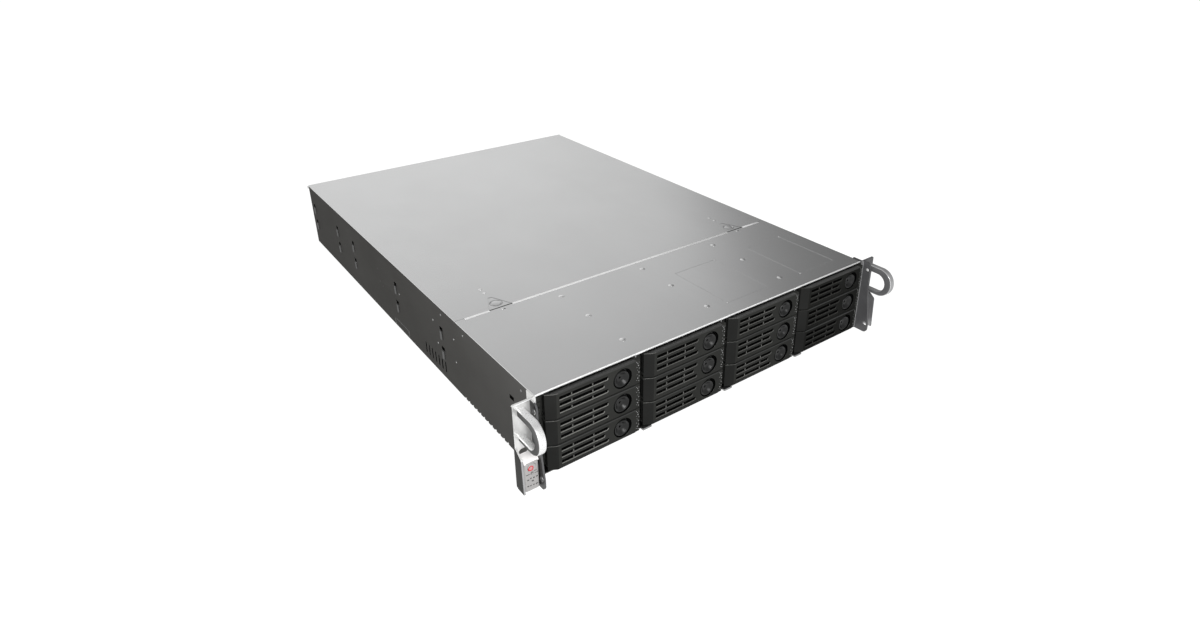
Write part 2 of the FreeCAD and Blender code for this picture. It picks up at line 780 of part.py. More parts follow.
def power_button():
    """The round power button in the control panel."""
    centre = -(flange_outer - ear_wall_sheet + fin_outer) / 2
    face = ear_front - panel_depth - power_proud
    return rod(power_radius, (centre, face, panel_top - power_drop), (0, 1, 0), power_depth)


def rear_panel():
    """The vented rear wall with its port window, and the power bay wall and shelf folded from it."""
    panel = block((-inner_side, inner_side), (panel_back, panel_face), (sheet, roof - slip_gap))
    wall = block((bay_wall_left, bay_wall_right), (psu_front, panel_face), (sheet, roof - lip_height))
    shelf_z = (psu_floors[1] - psu_gap - psu_shelf, psu_floors[1] - psu_gap)
    shelf = block((bay_wall_left, inner_side - slip_gap), (psu_front, panel_back), shelf_z)
    through = (panel_back - overrun, panel_face + overrun)
    bays = [block((bay_wall_right, psu_right + psu_gap), through,
                  (floor - psu_gap, floor + psu_height + psu_gap)) for floor in psu_floors]
    vents = []
    vent_left = -inner_side + control_left_gap / 2
    for column in range(rear_vent_columns):
        low_x = vent_left + column * rear_vent_pitch
        for row in range(rear_vent_rows):
            low_z = rear_vent_low + row * rear_vent_row_pitch
            vents.append(block((low_x, low_x + rear_vent_length), through, (low_z, low_z + rear_vent_height)))
    floor = sheet + standoff_height + control_thickness
    for centre in port_centres():
        half = port_width / 2 + port_margin
        vents.append(block((centre - half, centre + half), through,
                           (floor - port_margin, floor + port_height + port_margin)))
    return joined(panel.cut(bays), [wall, shelf]).cut(vents)


def port_centres():
    middle = -inner_side + control_left_gap + control_width / 2
    return [middle + (index - (port_count - 1) / 2) * port_pitch for index in range(port_count)]


def control_board():
    """The power and fan control board on stand-offs, with a heat sink and two rear ports."""
    x = (-inner_side + control_left_gap, -inner_side + control_left_gap + control_width)
    y = (panel_back - control_rear_gap - control_depth, panel_back - control_rear_gap)
    low = sheet + standoff_height
    high = low + control_thickness
    board = block(x, y, (low, high))
    pieces = []
    for corner_x in (x[0] + standoff_inset, x[1] - standoff_inset):
        for corner_y in (y[0] + standoff_inset, y[1] - standoff_inset):
            pieces.append(rod(standoff_radius, (corner_x, corner_y, sheet), (0, 0, 1), standoff_height))
    sockets = []
    for centre in port_centres():
        pieces.append(block((centre - port_width / 2, centre + port_width / 2),
                            (panel_face - port_depth, panel_face), (high, high + port_height)))
        half = port_width / 2 - port_shell
        sockets.append(block((centre - half, centre + half),
                             (panel_face - port_depth / 2, panel_face + overrun),
                             (high + port_shell, high + port_height - port_shell)))
    middle = (sum(x) / 2 - heatsink_size, sum(y) / 2)
    fin = heatsink_size / (2 * heatsink_fins - 1)
    half = heatsink_size / 2
    pieces.append(block((middle[0] - half, middle[0] + half), (middle[1] - half, middle[1] + half),
                        (high, high + heatsink_height / 3)))
    for index in range(heatsink_fins):
        fin_x = middle[0] - half + 2 * index * fin
        pieces.append(block((fin_x, fin_x + fin), (middle[1] - half, middle[1] + half),
                            (high, high + heatsink_height)))
    return joined(board, pieces).cut(sockets)


def power_supply(floor):
    """A slide-out power module with an inlet socket and a pull handle on its rear face."""
    body = block((psu_left, psu_right), (psu_front, panel_face), (floor, floor + psu_height))
    inlet_x = psu_left + psu_latch_width + psu_latch_travel + 2 * slip_gap
    inlet = block((inlet_x, inlet_x + psu_inlet_width), (panel_face - psu_inlet_depth, panel_face + overrun),
                  (floor + psu_handle_lift / 2, floor + psu_handle_lift / 2 + psu_inlet_height))
    handle_low = floor + psu_height - psu_handle_lift / 2 - psu_handle_height
    handle_x = (psu_right - psu_handle_width - psu_handle_bar, psu_right - psu_handle_bar)
    plan = [(handle_x[0], panel_face, 0), (handle_x[1], panel_face, 0),
            (handle_x[1], panel_face + psu_handle_reach, psu_handle_bar),
            (handle_x[0], panel_face + psu_handle_reach, psu_handle_bar)]
    span = (handle_low, handle_low + psu_handle_height)
    gap = block((handle_x[0] + psu_handle_bar, handle_x[1] - psu_handle_bar),
                (panel_face - overrun, panel_face + psu_handle_reach - psu_handle_bar), span)
    handle = prism_z(plan, span).cut(gap)
    return joined(body.cut(inlet), [handle])


def power_latch(floor):
    """The sliding release tab beside the inlet of a power module."""
    low = floor + psu_handle_lift
    plan = [(psu_left + slip_gap, panel_face + slip_gap, 0),
            (psu_left + slip_gap + psu_latch_width, panel_face + slip_gap, 0),
            (psu_left + slip_gap + psu_latch_width, panel_face + psu_latch_depth, psu_latch_corner),
            (psu_left + slip_gap, panel_face + psu_latch_depth, psu_latch_corner)]
    return prism_z(plan, (low, low + psu_latch_height))


def main():
    os.makedirs("parts", exist_ok=True)
    save("chassis_pan", chassis_pan())
    save("rear_panel", rear_panel())
    save("front_top_cover", front_top_cover())
    save("cage_rivets", cage_rivets())
    save("drive_cage", drive_cage())
    save("backplane", backplane())
    save("fan_wall", fan_wall())
    save("fan_frames", fan_frames())
    save("control_board", control_board())
    save("left_ear", mirrored(right_ear()))
    save("right_ear", right_ear())
    save("handles", Part.makeCompound([mirrored(right_handle()), right_handle()]))
    save("control_panel", control_panel())
    save("power_button", power_button())
    save("rear_top_cover", rear_top_cover())
    save("cover_latch_left", cover_latch(-latch_place))
    save("cover_latch_right", cover_latch(latch_place))
    for index, centre in enumerate(fan_centres()):
        save("fan_rotor_%d" % (index + 1), fan_rotor(centre))
    for index, floor in enumerate(psu_floors):
        save("power_supply_%d" % (index + 1), power_supply(floor))
        save("power_latch_%d" % (index + 1), power_latch(floor))
    for row in range(rows):
        for column in range(columns):
            place = "r%d_c%d" % (row + 1, column + 1)
            save("tray_" + place, tray_holder(column, row))
            save("lever_" + place, tray_lever(column, row))
            save("button_" + place, release_button(column, row))


main()
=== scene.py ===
import json
import math

import bmesh
import bpy
from mathutils import Matrix, Vector

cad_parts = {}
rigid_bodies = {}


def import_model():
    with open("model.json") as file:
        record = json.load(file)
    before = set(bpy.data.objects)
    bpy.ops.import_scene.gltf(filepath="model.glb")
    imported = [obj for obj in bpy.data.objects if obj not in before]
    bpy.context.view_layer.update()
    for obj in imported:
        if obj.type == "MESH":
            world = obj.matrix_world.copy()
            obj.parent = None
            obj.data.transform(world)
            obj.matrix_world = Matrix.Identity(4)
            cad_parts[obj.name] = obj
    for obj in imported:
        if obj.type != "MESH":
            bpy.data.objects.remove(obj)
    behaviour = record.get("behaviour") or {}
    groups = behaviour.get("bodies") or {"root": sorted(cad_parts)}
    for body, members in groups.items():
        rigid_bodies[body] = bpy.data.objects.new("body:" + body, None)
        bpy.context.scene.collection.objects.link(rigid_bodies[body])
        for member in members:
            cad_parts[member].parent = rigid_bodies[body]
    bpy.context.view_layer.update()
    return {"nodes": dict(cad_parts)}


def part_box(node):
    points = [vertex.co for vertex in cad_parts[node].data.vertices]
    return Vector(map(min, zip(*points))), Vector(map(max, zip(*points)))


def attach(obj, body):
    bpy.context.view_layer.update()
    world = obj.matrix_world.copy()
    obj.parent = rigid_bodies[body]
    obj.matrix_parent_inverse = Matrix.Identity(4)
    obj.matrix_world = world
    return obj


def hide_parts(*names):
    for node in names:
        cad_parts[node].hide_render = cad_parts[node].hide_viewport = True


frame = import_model()
nodes = frame["nodes"]

# Units and mesh cleaning, in metres and degrees
MM = 0.001
WELD = 0.00001
FLAT_ANGLE = 1.0
EDGE_ANGLE = 28.0
BEAD_ANGLE = 60.0

# Directions, and the least share of a normal for a face that looks along an axis or leans that way
ORIGIN = Vector((0, 0, 0))
UP = (0, 0, 1)
BACKWARD = (0, 1, 0)
QUARTER = math.pi / 2
SIDES = (("left", -1), ("right", 1))
FACING = 0.9
LEANING = 0.3

# Camera, measured from the photograph; places in metres, turns in degrees
CAMERA_PLACE = (-0.4742, -0.7911, 0.4699)
CAMERA_AZIMUTH = -36.175
CAMERA_ELEVATION = 25.307
CAMERA_ROLL = -0.302
CAMERA_SENSOR = 36.0
CAMERA_LENS = 22.65
CAMERA_SHIFT = (-0.0125, -0.05)
CAMERA_NEAR = 0.01

# Sides of turned shapes, segments of wide edge roundings, and millimetres that a head or rim is sunk
BUTTON_SIDES = 64
RING_SIDES = 40
HEAD_SIDES = 24
DOME_SIDES = 20
DOME_STEPS = 5
FINE_SEGMENTS = 3
SINK = 0.3

# Drive bays, in millimetres like all lengths down to the studio; in a bay from its left and its middle
COLUMNS = 4
ROWS = 3
TRAY_SIDE_GAP = 1.475
ROW_PITCH = 27.8
TRAY_LIFT = 0.6

# Levers: edges, well of the button and left bevel
LEVER_FRONT = -330.0
LEVER_BACK = -324.8
LEVER_ROUND = 0.35
WELL_RADIUS = 10.6
WELL_DEPTH = 0.4
BEVEL_LEAN = 0.25
CHAMFER_START = 8.2
CHAMFER_END = 17.0
CHAMFER_MARGIN = 1.0
CHAMFER_PATH = ((CHAMFER_START, LEVER_BACK - 0.1), (CHAMFER_END - 2.2, LEVER_FRONT + 1.2),
                (CHAMFER_END, LEVER_FRONT + 0.35), (CHAMFER_END + 2.2, LEVER_FRONT + 0.2))
CHAMFER_DROP = 0.25
CHAMFER_BEAD = 0.3

# Lever, lip and rib finishes of each column: lips and ribs painted lighter as highlights, brightest on the
# first column's lips, and the far right column's lever painted darker as shade, its lips and ribs a dimmer
# painted highlight
COLUMN_FINISHES = (("bezel", "worn_lip", "lip"), ("bezel", "lip", "lip"), ("bezel", "lip", "lip"),
                   ("bezel_far", "far_lip", "far_lip"))

# Lever grilles: rows of slots, the ribs and lips on them and the screen behind
SLOT_LINES = (-1, 0, 1)
SLOT_START = 20.2
SLOT_END = 72.0
SLOT_MARGIN = 0.5
SLOT_DEPTH = 0.5
SLOT_LIFT = 0.6
SLOT_REACH = 9.6
SLOT_PITCH = 6.8
SLOT_HEIGHT = 3.9
SLOT_RUNS = (12.0, 21.0)
SLOT_RIB = 1.4
SHORT_SLOT = 4.2
RIB = ((0.1, LEVER_FRONT - 0.05, 1.1), (SLOT_RIB - 0.1, LEVER_FRONT + 0.3, SLOT_HEIGHT - 0.5))
RIB_ROUND = 0.1
LIP_RISE = 0.25
LIP_RADIUS = 0.5
LIP_INSET = 0.2
LIP_TURN = 1.4
LIP_END = 1.9
LIP_STEPS = 4
SCREEN_MARGIN = 2.0
SCREEN_HEIGHT = 20.0
SCREEN_WIRE = 0.2
SCREEN_LINES = 34
SCREEN_GAP = 0.4

# Release buttons; a profile holds (radius, distance along the axis) from tip to base
BUTTON_PLACE = 88.6
BUTTON_RECESS = 0.8
BUTTON_SHIFT = (-0.35, -1.0)
BUTTON_PROFILE = ((0.0, 4.4), (1.1, 4.4), (1.1, 3.6), (1.35, 3.42), (2.6, 3.36), (3.3, 3.25), (3.9, 3.03),
                  (4.4, 2.7), (5.4, 1.82), (6.4, 0.94), (7.2, 0.24), (7.5, 0.06), (7.8, 0.0), (8.1, 0.08),
                  (8.3, 0.28), (8.4, 0.6), (8.4, 4.0), (9.6, 4.0), (9.6, 5.2), (0.0, 5.2))
BUTTON_HOLE_RADIUS = 1.2
BUTTON_HOLE_DEPTH = 3.5

# Trays: post specks as (across, rise, half width), latch teeth and floor feet
TRAY_ROUND = 0.25
TRAY_WALL_FRONT = -316.0
POST_FRONT = -329.0
POST_SPECKS = ((105.4, 10.6, 0.42), (106.6, 8.9, 0.5), (108.3, 9.8, 0.3), (107.4, 6.4, 0.55),
               (105.6, 5.0, 0.32), (108.4, 3.3, 0.4), (106.4, 1.4, 0.28), (107.9, -0.9, 0.5),
               (105.8, -3.2, 0.34), (108.2, -5.4, 0.42), (106.7, -7.3, 0.55), (105.5, -9.4, 0.3),
               (107.8, -10.6, 0.45))
SPECK_TALL = 0.9
SPECK_PROUD = 0.22
SPECK_BITE = 0.2
SPECK_ROUND = 0.12
TOOTH = ((2.0, -321.5, 0.0), (5.6, TRAY_WALL_FRONT + 0.1, 4.0))
TOOTH_RISES = (-11.0, -5.6, 1.2, 6.6)
FOOT = ((5.0, LEVER_BACK - 4.6, 0.6), (16.0, LEVER_BACK + 0.6, 3.0))
FOOT_BAYS = ("r3_c2", "r3_c3", "r3_c4")
FOOT_ROUND = 0.6

# Drives; a relief is a bead as (width, length, corner, radius), a domed head is (radius, height)
DRIVE_FRONT = -313.4
DRIVE_LEFT = 3.4
DRIVE_RIGHT = 105.3
DRIVE_MIDDLE = (54.4, -240.1)
DRIVE_RISE = 13.05
LID_RELIEF = (78.0, 124.0, 8.0, 0.3)
LID_SCREW = (1.8, 0.5)
LID_SCREWS = [(across, along) for along in (-66.0, 0.0, 66.0) for across in (-45.0, 45.0)]
LID_BOSS = ((0.0, 0.45), (12.0, 0.45), (12.8, 0.1), (17.0, 0.1), (17.6, 0.45), (19.0, 0.45), (19.4, 0.0),
            (19.4, -0.3), (0.0, -0.3))
LID_BOSS_SHIFT = -22.0

# Top covers: edges, hems, rivets, screws and dimples; rows are measured from the front edge
FRONT_EDGE = -324.0
TOP = 89.0
SIDE = 218.5
COVER_ROUND = 0.42
EDGE_DEPTH = 0.4
FRONT_HEM = ((-SIDE + 0.3, FRONT_EDGE - 0.7, TOP - 1.5), (SIDE - 0.3, FRONT_EDGE + 0.3, TOP + 0.1))
FRONT_HEM_ROUND = 0.4
REAR_LIP = ((-SIDE - 1.6, -0.3, TOP - 4.8), (SIDE + 1.6, 0.9, TOP - 0.05))
REAR_LIP_ROUND = 0.35
RIVET_RADIUS = 3.2
RIVET_MIDDLE = 84.0
RIVET_PROFILE = ((0.0, 0.62), (1.0, 0.6), (1.5, 0.5), (1.85, 0.3), (2.05, 0.2), (2.9, 0.2), (3.15, 0.08),
                 (3.2, -0.3), (1.6, -0.3), (1.6, -2.0), (0.0, -2.0))
DIMPLE_ROWS = (190.0, 200.0)
COVER_DIMPLE = (1.9, 0.5)
SCREW_ROW = 148.0
SCREW_SHIFT = -1.0
COVER_SCREW = (1.4, 0.5)
PILOT_SHIFT = (2.6, -0.5)
PILOT_HOLE = (0.9, 0.12)

# Round latches, their pans, and the seam in front of them
LATCH_X = 167.0
LATCH_Y = -160.0
LATCH_LIFT = 0.3
LATCH_PROFILE = ((0.0, 0.06), (4.7, 0.06), (4.95, 0.1), (5.1, 0.25), (5.3, 0.5), (5.5, 0.5), (5.7, 0.25),
                 (5.85, 0.08), (6.3, 0.05), (6.5, 0.2), (6.5, 1.9), (0.0, 1.9))
PAN_HALF = 13.4
PAN_REACH = 15.0
PAN_FLOOR = 87.2
PAN_FLOOR_NEAR = 0.1
PAN_DEPTH = 0.4
SEAM_END = 208.5
SEAM_SINK = 1.0
SEAM_HEM = (-3.4, -0.2, TOP + 0.15)
SEAM_HEM_ROUND = 0.06
PAN_MOUTH = (-1.1, -0.4, TOP + 0.05)
PAN_MOUTH_ROUND = 0.1

# Stamped outlines in the front cover as (name, middle across, width, length), with an edge as (corner, bead)
OUTLINES = (("right", 167.0, 56.0, 83.5), ("middle", 56.2, 60.0, 84.0))
OUTLINE_REAR = -220.4
OUTLINE_EDGE = (1.0, 0.22)
OUTLINE_CORNER = (1.0, 0.4)

# Side walls: heads as (depth, height), a bare plate, and black sheets of painted shade behind the openings
SHEET_ROUND = 0.2
TAB_PROUD = 0.1
SIDE_RIVET = (1.3, 0.45)
SIDE_RIVETS = ((-134.5, 80.5), (-111.2, 63.7), (-119.0, 38.9), (-162.5, 64.4), (-185.6, 80.0), (-163.0, 37.1),
               (-14.2, 52.8), (-301.0, 80.6))
SIDE_DIMPLE = (1.3, 0.3)
SIDE_DIMPLES = ((177.0, 45.3), (141.0, 46.1), (52.0, 60.0), (50.0, 44.0), (42.0, 40.0))
SIDE_PLATE = (9.0, 42.0, 2.0, 0.2)
SIDE_PLATE_PLACE = (-SIDE, -9.0, 5.6)
SHADE_SHEET_FACES = (SIDE - 0.6, SIDE - 0.15)
SHADE_SHEET_DEPTHS = (-300.0, 315.0)
SHADE_SHEET_HEIGHTS = (5.0, 75.0)
SHADE_SHEET_ROUND = 0.1

# Ears: faces, the lower front edge of the left wall that is painted shade, and beads on the edges painted as
# highlights
EAR_ROUND = 0.3
EAR_OUTER = 241.0
EAR_FRONT = -326.0
FIN_INNER = 222.0
FIN_OUTER = 224.6
FIN_FOOT = 2.0
FIN_SHADE_FRONT = EAR_FRONT - 2.0
WALL_INNER = 239.0
WALL_SHADE_TOP = 34.0
EAR_BEAD = 0.5
EAR_BEAD_DROP = 1.4
FLANGE_BEAD_ENDS = (-EAR_OUTER + 0.6, -FIN_INNER)
FLANGE_BEAD_FRONT = EAR_FRONT - 0.1
FIN_ROOT = (FIN_INNER + 0.15, EAR_FRONT - 0.3)
FIN_STUD = (2.0, 0.9)
FIN_STUD_PLACE = (FIN_OUTER - 1.2, EAR_FRONT - 6.3)
FIN_STUD_DROP = 3.9

# Loop handles
HANDLE_WIDTH = 7.4
HANDLE_FOOT = EAR_FRONT + 0.5
HANDLE_BEND = 16.0
HANDLE_HOLE_BEND = 10.9
HANDLE_TOP_WALL = 7.5
HANDLE_BOTTOM_WALL = 4.0
HANDLE_FRONT_WALL = 8.7
HANDLE_EDGE = 1.5
HANDLE_STEPS = 12
EDGE_STEPS = 6
RIM_INSET = 0.35
RIM_BEAD = 0.4

# Control panel, its cap, the power button and marks as (right of the button, height, width, tall)
PANEL_ROUND = 0.5
CAP_FOOT = 1.5
CAP_RISE = 3.6
CAP_REACH = 9.0
CAP_BASE = 1.0
CAP_CROWN = 4.4
CAP_STEPS = 12
CAP_INSET = 0.15
RING_SHIFT = (-1.1, -0.5)
RING_PROFILE = ((1.75, -0.06), (2.7, -0.06), (2.8, 0.1), (1.65, 0.1))
SPOT_PROFILE = ((0.0, -0.05), (1.6, -0.05), (1.7, 0.1), (0.0, 0.1))
PIN_HEIGHT = 20.6
PIN_PROFILE = ((0.0, 0.5), (1.2, 0.5), (1.3, 0.02), (1.65, -0.04), (1.7, 0.2), (1.5, 1.2), (0.0, 1.2))
PANEL_MARKS = ((-4.2, 20.4, 3.4, 0.7), (4.3, 19.6, 3.6, 0.6), (3.4, 22.2, 3.0, 0.5), (-4.2, 14.6, 1.9, 1.2),
               (-1.5, 15.4, 1.4, 1.2), (1.5, 15.0, 1.4, 1.4), (4.4, 15.2, 1.8, 1.1), (0.2, 12.0, 2.0, 1.5),
               (-4.6, 7.9, 1.9, 1.0), (-1.9, 7.5, 1.5, 1.1), (1.0, 7.4, 1.5, 1.0), (4.0, 7.2, 2.0, 1.0))
MARK_PROUD = 0.06
MARK_BITE = 0.1
MARK_ROUND = 0.04

# Rear face: screws and dimples as (across, height), and a bare plate
REAR_FACE = 322.5
LINING = 0.3
SHELL_ROUND = 0.12
SCREW_PROFILE = ((0.0, 0.3), (0.8, 0.3), (1.05, 0.95), (1.9, 0.85), (2.5, 0.5), (2.7, 0.0), (2.7, -0.3),
                 (0.0, -0.3))
REAR_SCREWS = ((-210.0, 8.0), (-120.0, 8.0), (20.0, 8.0), (150.0, 8.0), (-210.0, 80.0), (-100.0, 80.0),
               (10.0, 80.0), (120.0, 80.0), (152.0, 44.0))
REAR_DIMPLE = (1.6, 0.35)
REAR_DIMPLES = ((-160.0, 42.0), (-40.0, 42.0), (90.0, 42.0))
REAR_PLATE = (70.0, 22.0, 2.0, 0.22)
REAR_PLATE_PLACE = (60.0, REAR_FACE, 30.0)

# Power modules, from the lower left corner of each; a pin is (half width, half height, front, back)
MODULE_ROUND = 0.4
VENT_HOLE = (1.1, 0.06)
HOLE_PITCH = 3.0
HOLE_ROW = HOLE_PITCH * 0.87
HOLE_SLACK = 0.001
MODULE_HOLES = (((2.6, 21.5), (13.5, 37.5)), ((20.5, 24.0), (45.5, 35.5)), ((39.5, 4.5), (52.0, 18.0)))
INLET_CORNER = (11.6, 3.0)
INLET_SIZE = (24.0, 15.0, 14.0)
INLET_RIM = 1.4
INLET_RIM_GAP = 0.2
INLET_PROUD = 0.9
INLET_PINS = ((-6.0, 1.0), (0.0, -2.6), (6.0, 1.0))
INLET_PIN = (0.9, 2.0, REAR_FACE - 13.8, REAR_FACE - 4.0)
INLET_PIN_ROUND = 0.3

# Data ports: shells, tongues as (half width, half height, front, back) and contacts
PORT_MIDDLES = (-82.5, -50.5)
PORT_SIZE = (22.0, 9.0, 16.0)
PORT_FLOOR = 10.6
PORT_RIM = 1.9
PORT_PROUD = 0.5
TONGUE = (8.4, 0.8, REAR_FACE - 15.6, REAR_FACE - 3.0)
TONGUE_ROUND = 0.2
CONTACT = ((-7.9, REAR_FACE - 12.0, 0.7), (-7.3, REAR_FACE - 3.6, 0.95))
CONTACTS = 12
CONTACT_PITCH = 1.4
CONTACT_ROUND = 0.08

# Finishes of the solids inside that are shown as they are
INSIDE_FINISHES = {"drive_cage": "inner", "backplane": "board", "fan_wall": "inner", "fan_frames": "fan",
                   "control_board": "board", "fan_rotor_1": "fan", "fan_rotor_2": "fan", "fan_rotor_3": "fan"}

# Studio brightness along each component of direction, lamp in metres and watts, and floor in metres
WORLD_STRENGTH = 0.95
WORLD_STOPS = {
    "Y": ((-1.0, 0.74), (-0.3, 0.64), (-0.05, 0.35), (0.3, 0.9), (0.45, 1.0)),
    "X": ((-1.0, 0.9), (0.3, 1.0), (0.45, 0.96), (0.61, 0.84), (0.68, 0.36), (0.78, 0.18), (1.0, 0.2)),
    "Z": ((-1.0, 1.0), (0.4, 1.0), (0.46, 0.9), (0.52, 0.79), (0.6, 0.7), (1.0, 0.6)),
}
WORLD_SIDE = (-0.25, 0.1)
KEY_PLACE = (-0.49, -1.23, 0.645)
KEY_TARGET = (-0.1, -0.3, 0.05)
KEY_SIZE = 0.6
KEY_POWER = 12.0
UNLIT_PIECES = ("front_top_cover", "rear_top_cover", "round_latch", "stamped_outline", "power_supply")
FLOOR_HALF = 60.0
FLOOR_LEVEL = -0.0004
FLOOR_SHADE = 0.28
FLOOR_LIFT = 0.9


def mm(x, y, z):
    return Vector((x * MM, y * MM, z * MM))


def even(value):
    """The same value three times, for a grey or for a pattern alike along each axis."""
    return (value, value, value)


def corners(node):
    """The low and high corners of a CAD node in millimetres."""
    return [[value / MM for value in corner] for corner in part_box(node)]


def new_object(name, data):
    item = bpy.data.objects.new(name, data)
    bpy.context.scene.collection.objects.link(item)
    return item


class Tree:
    """A node tree in the making."""

    def __init__(self, tree):
        self.tree = tree

    def feed(self, node, inputs):
        """Sets inputs of a node, each to a value or to the output that feeds it."""
        for key, value in inputs.items():
            if isinstance(value, bpy.types.NodeSocket):
                self.tree.links.new(value, node.inputs[key])
            else:
                node.inputs[key].default_value = value

    def add(self, kind, inputs=None, **settings):
        node = self.tree.nodes.new(kind)
        for key, value in settings.items():
            setattr(node, key, value)
        self.feed(node, inputs or {})
        return node

    def made(self, kind, inputs=None, **settings):
        """The first output of a new node."""
        return self.add(kind, inputs, **settings).outputs[0]

    def math(self, operation, *values):
        return self.made("ShaderNodeMath", dict(enumerate(values)), operation=operation)

    def mix(self, blend, factor, first, second):
        node = self.add("ShaderNodeMix", data_type="RGBA", blend_type=blend)
        places = {socket.identifier: index for index, socket in enumerate(node.inputs)}
        self.feed(node, {places["Factor_Float"]: factor, places["A_Color"]: first, places["B_Color"]: second})
        return [socket for socket in node.outputs if socket.identifier == "Result_Color"][0]


class Finish(Tree):
    """A node material: a principled shader fed by patterns that lie on object coordinates."""

    def __init__(self, name, **values):
        self.material = bpy.data.materials.new(name)
        self.material.use_nodes = True
        super().__init__(self.material.node_tree)
        self.shader = self.tree.nodes["Principled BSDF"]
        self.feed(self.shader, {socket.replace("_", " "): value for socket, value in values.items()})
        self.place = self.add("ShaderNodeTexCoord").outputs["Object"]

    def scaled(self, stretch):
        """Object coordinates with so many features per metre along each axis."""
        return self.made("ShaderNodeMapping", {"Vector": self.place, "Scale": stretch})

    def noise(self, stretch, detail=3.0, roughness=0.55):
        """Smooth noise from 0 to 1."""
        return self.made("ShaderNodeTexNoise", {"Vector": self.scaled(stretch), "Scale": 1.0,
                                                "Detail": detail, "Roughness": roughness})

    def cells(self, stretch):
        """Grains with a random shade each, from 0 to 1."""
        grains = self.add("ShaderNodeTexVoronoi", {"Vector": self.scaled(stretch), "Scale": 1.0})
        return self.made("ShaderNodeSeparateColor", {"Color": grains.outputs["Color"]})

    def spread(self, value, low, high, start=0.3, stop=0.7):
        """A pattern's range from start to stop, spread from low to high."""
        return self.made("ShaderNodeMapRange", {"Value": value, "From Min": start, "From Max": stop,
                                                "To Min": low, "To Max": high})

    def colour(self, value, first, second, start=0.3, stop=0.7):
        share = self.spread(value, 0.0, 1.0, start, stop)
        self.feed(self.shader, {"Base Color": self.mix("MIX", share, (*first, 1.0), (*second, 1.0))})

    def gloss(self, value, low, high):
        self.feed(self.shader, {"Roughness": self.spread(value, low, high)})

    def relief(self, *layers):
        """Bumps of (pattern, height in metres), each laid on the one before it."""
        below = {}
        for pattern, height in layers:
            bump = {"Strength": 1.0, "Distance": height, "Height": pattern}
            below = {"Normal": self.made("ShaderNodeBump", {**bump, **below})}
        self.feed(self.shader, below)


# How far roughness spreads below and above its middle on castings and plastics
SHEEN_BELOW = 0.05
SHEEN_ABOVE = 0.06


def rolled_steel(name, dark, light, rough, grain, wave, edge_shine=1.0):
    """Plated sheet steel: broad mottling, a fine rolling grain along the depth and a slight waviness."""
    finish = Finish(name, Metallic=1.0, Specular_Tint=(*even(edge_shine), 1.0))
    mottle = finish.noise((7.0, 5.0, 7.0), 4.0, 0.6)
    rolling = finish.noise((900.0, 14.0, 900.0), 3.0, 0.6)
    finish.colour(mottle, dark, light)
    finish.gloss(rolling, rough - grain, rough + grain)
    finish.relief((finish.noise((9.0, 6.0, 9.0), 1.0), wave), (rolling, 1.5e-6))
    return finish.material


def cast_metal(name, dark, light, rough, edge_shine=1.0, metal=1.0):
    """Tumbled casting with a soft sheen and a faint unevenness."""
    finish = Finish(name, Metallic=metal, Specular_Tint=(*even(edge_shine), 1.0))
    finish.colour(finish.noise(even(60.0), 3.0), dark, light)
    fine = finish.noise(even(1400.0), 2.0)
    finish.gloss(fine, rough - SHEEN_BELOW, rough + SHEEN_ABOVE)
    finish.relief((finish.noise(even(60.0), 1.0), 1e-5), (fine, 8e-7))
    return finish.material


def moulded_plastic(name, dark, light, rough, grain_height, shine=0.35):
    """Moulded plastic with a fine spark-eroded grain and a slight unevenness of sheen."""
    finish = Finish(name, Specular_IOR_Level=shine)
    broad = finish.noise(even(22.0), 3.0)
    finish.colour(broad, dark, light)
    finish.gloss(broad, rough - SHEEN_BELOW, rough + SHEEN_ABOVE)
    finish.relief((finish.noise(even(1500.0), 2.0), grain_height))
    return finish.material


def circuit_green(name, dark, light):
    """Solder mask over faint traces."""
    finish = Finish(name, Roughness=0.34)
    traces = finish.cells(even(420.0))
    finish.colour(traces, dark, light, 0.0, 1.0)
    finish.relief((traces, 3e-5))
    return finish.material


def clear_pipe(name, dark, light):
    """Frosted light-pipe plastic."""
    finish = Finish(name, Roughness=0.25, IOR=1.49)
    finish.colour(finish.noise(even(900.0), 2.0), dark, light)
    return finish.material


def printed_ink(name, dark, light):
    """Screen-printed ink, a little uneven in density."""
    finish = Finish(name, Roughness=0.45)
    finish.colour(finish.noise(even(1300.0), 2.0), dark, light)
    return finish.material


# Steels as (key, slot, name, dark, light, roughness, grain, wave, shine of the edges)
STEELS = (
    ("cover", "steel", "cover_zinc_sheet", (0.585, 0.587, 0.587), (0.625, 0.627, 0.628), 0.2, 0.02, 6e-5),
    # The pan's steel is darker than the covers', partly its own tone and partly painted shade on the side
    # walls
    ("pan", "steel", "pan_dark_zinc_sheet", (0.142, 0.14, 0.136), (0.17, 0.168, 0.163),
     0.36, 0.03, 2e-4, 0.24),
    ("inner", "steel", "inner_zinc_sheet", (0.42, 0.43, 0.43), even(0.5), 0.42, 0.04, 2e-4),
    # Painted shade: the outer face of the left ear
    ("ear_side", "ear_steel", "ear_outer_zinc_sheet", (0.09, 0.09, 0.088), (0.12, 0.12, 0.117),
     0.34, 0.03, 1e-4, 0.4),
    ("module", "module_metal", "module_plain_sheet", even(0.5), even(0.58), 0.36, 0.04, 2e-4),
)

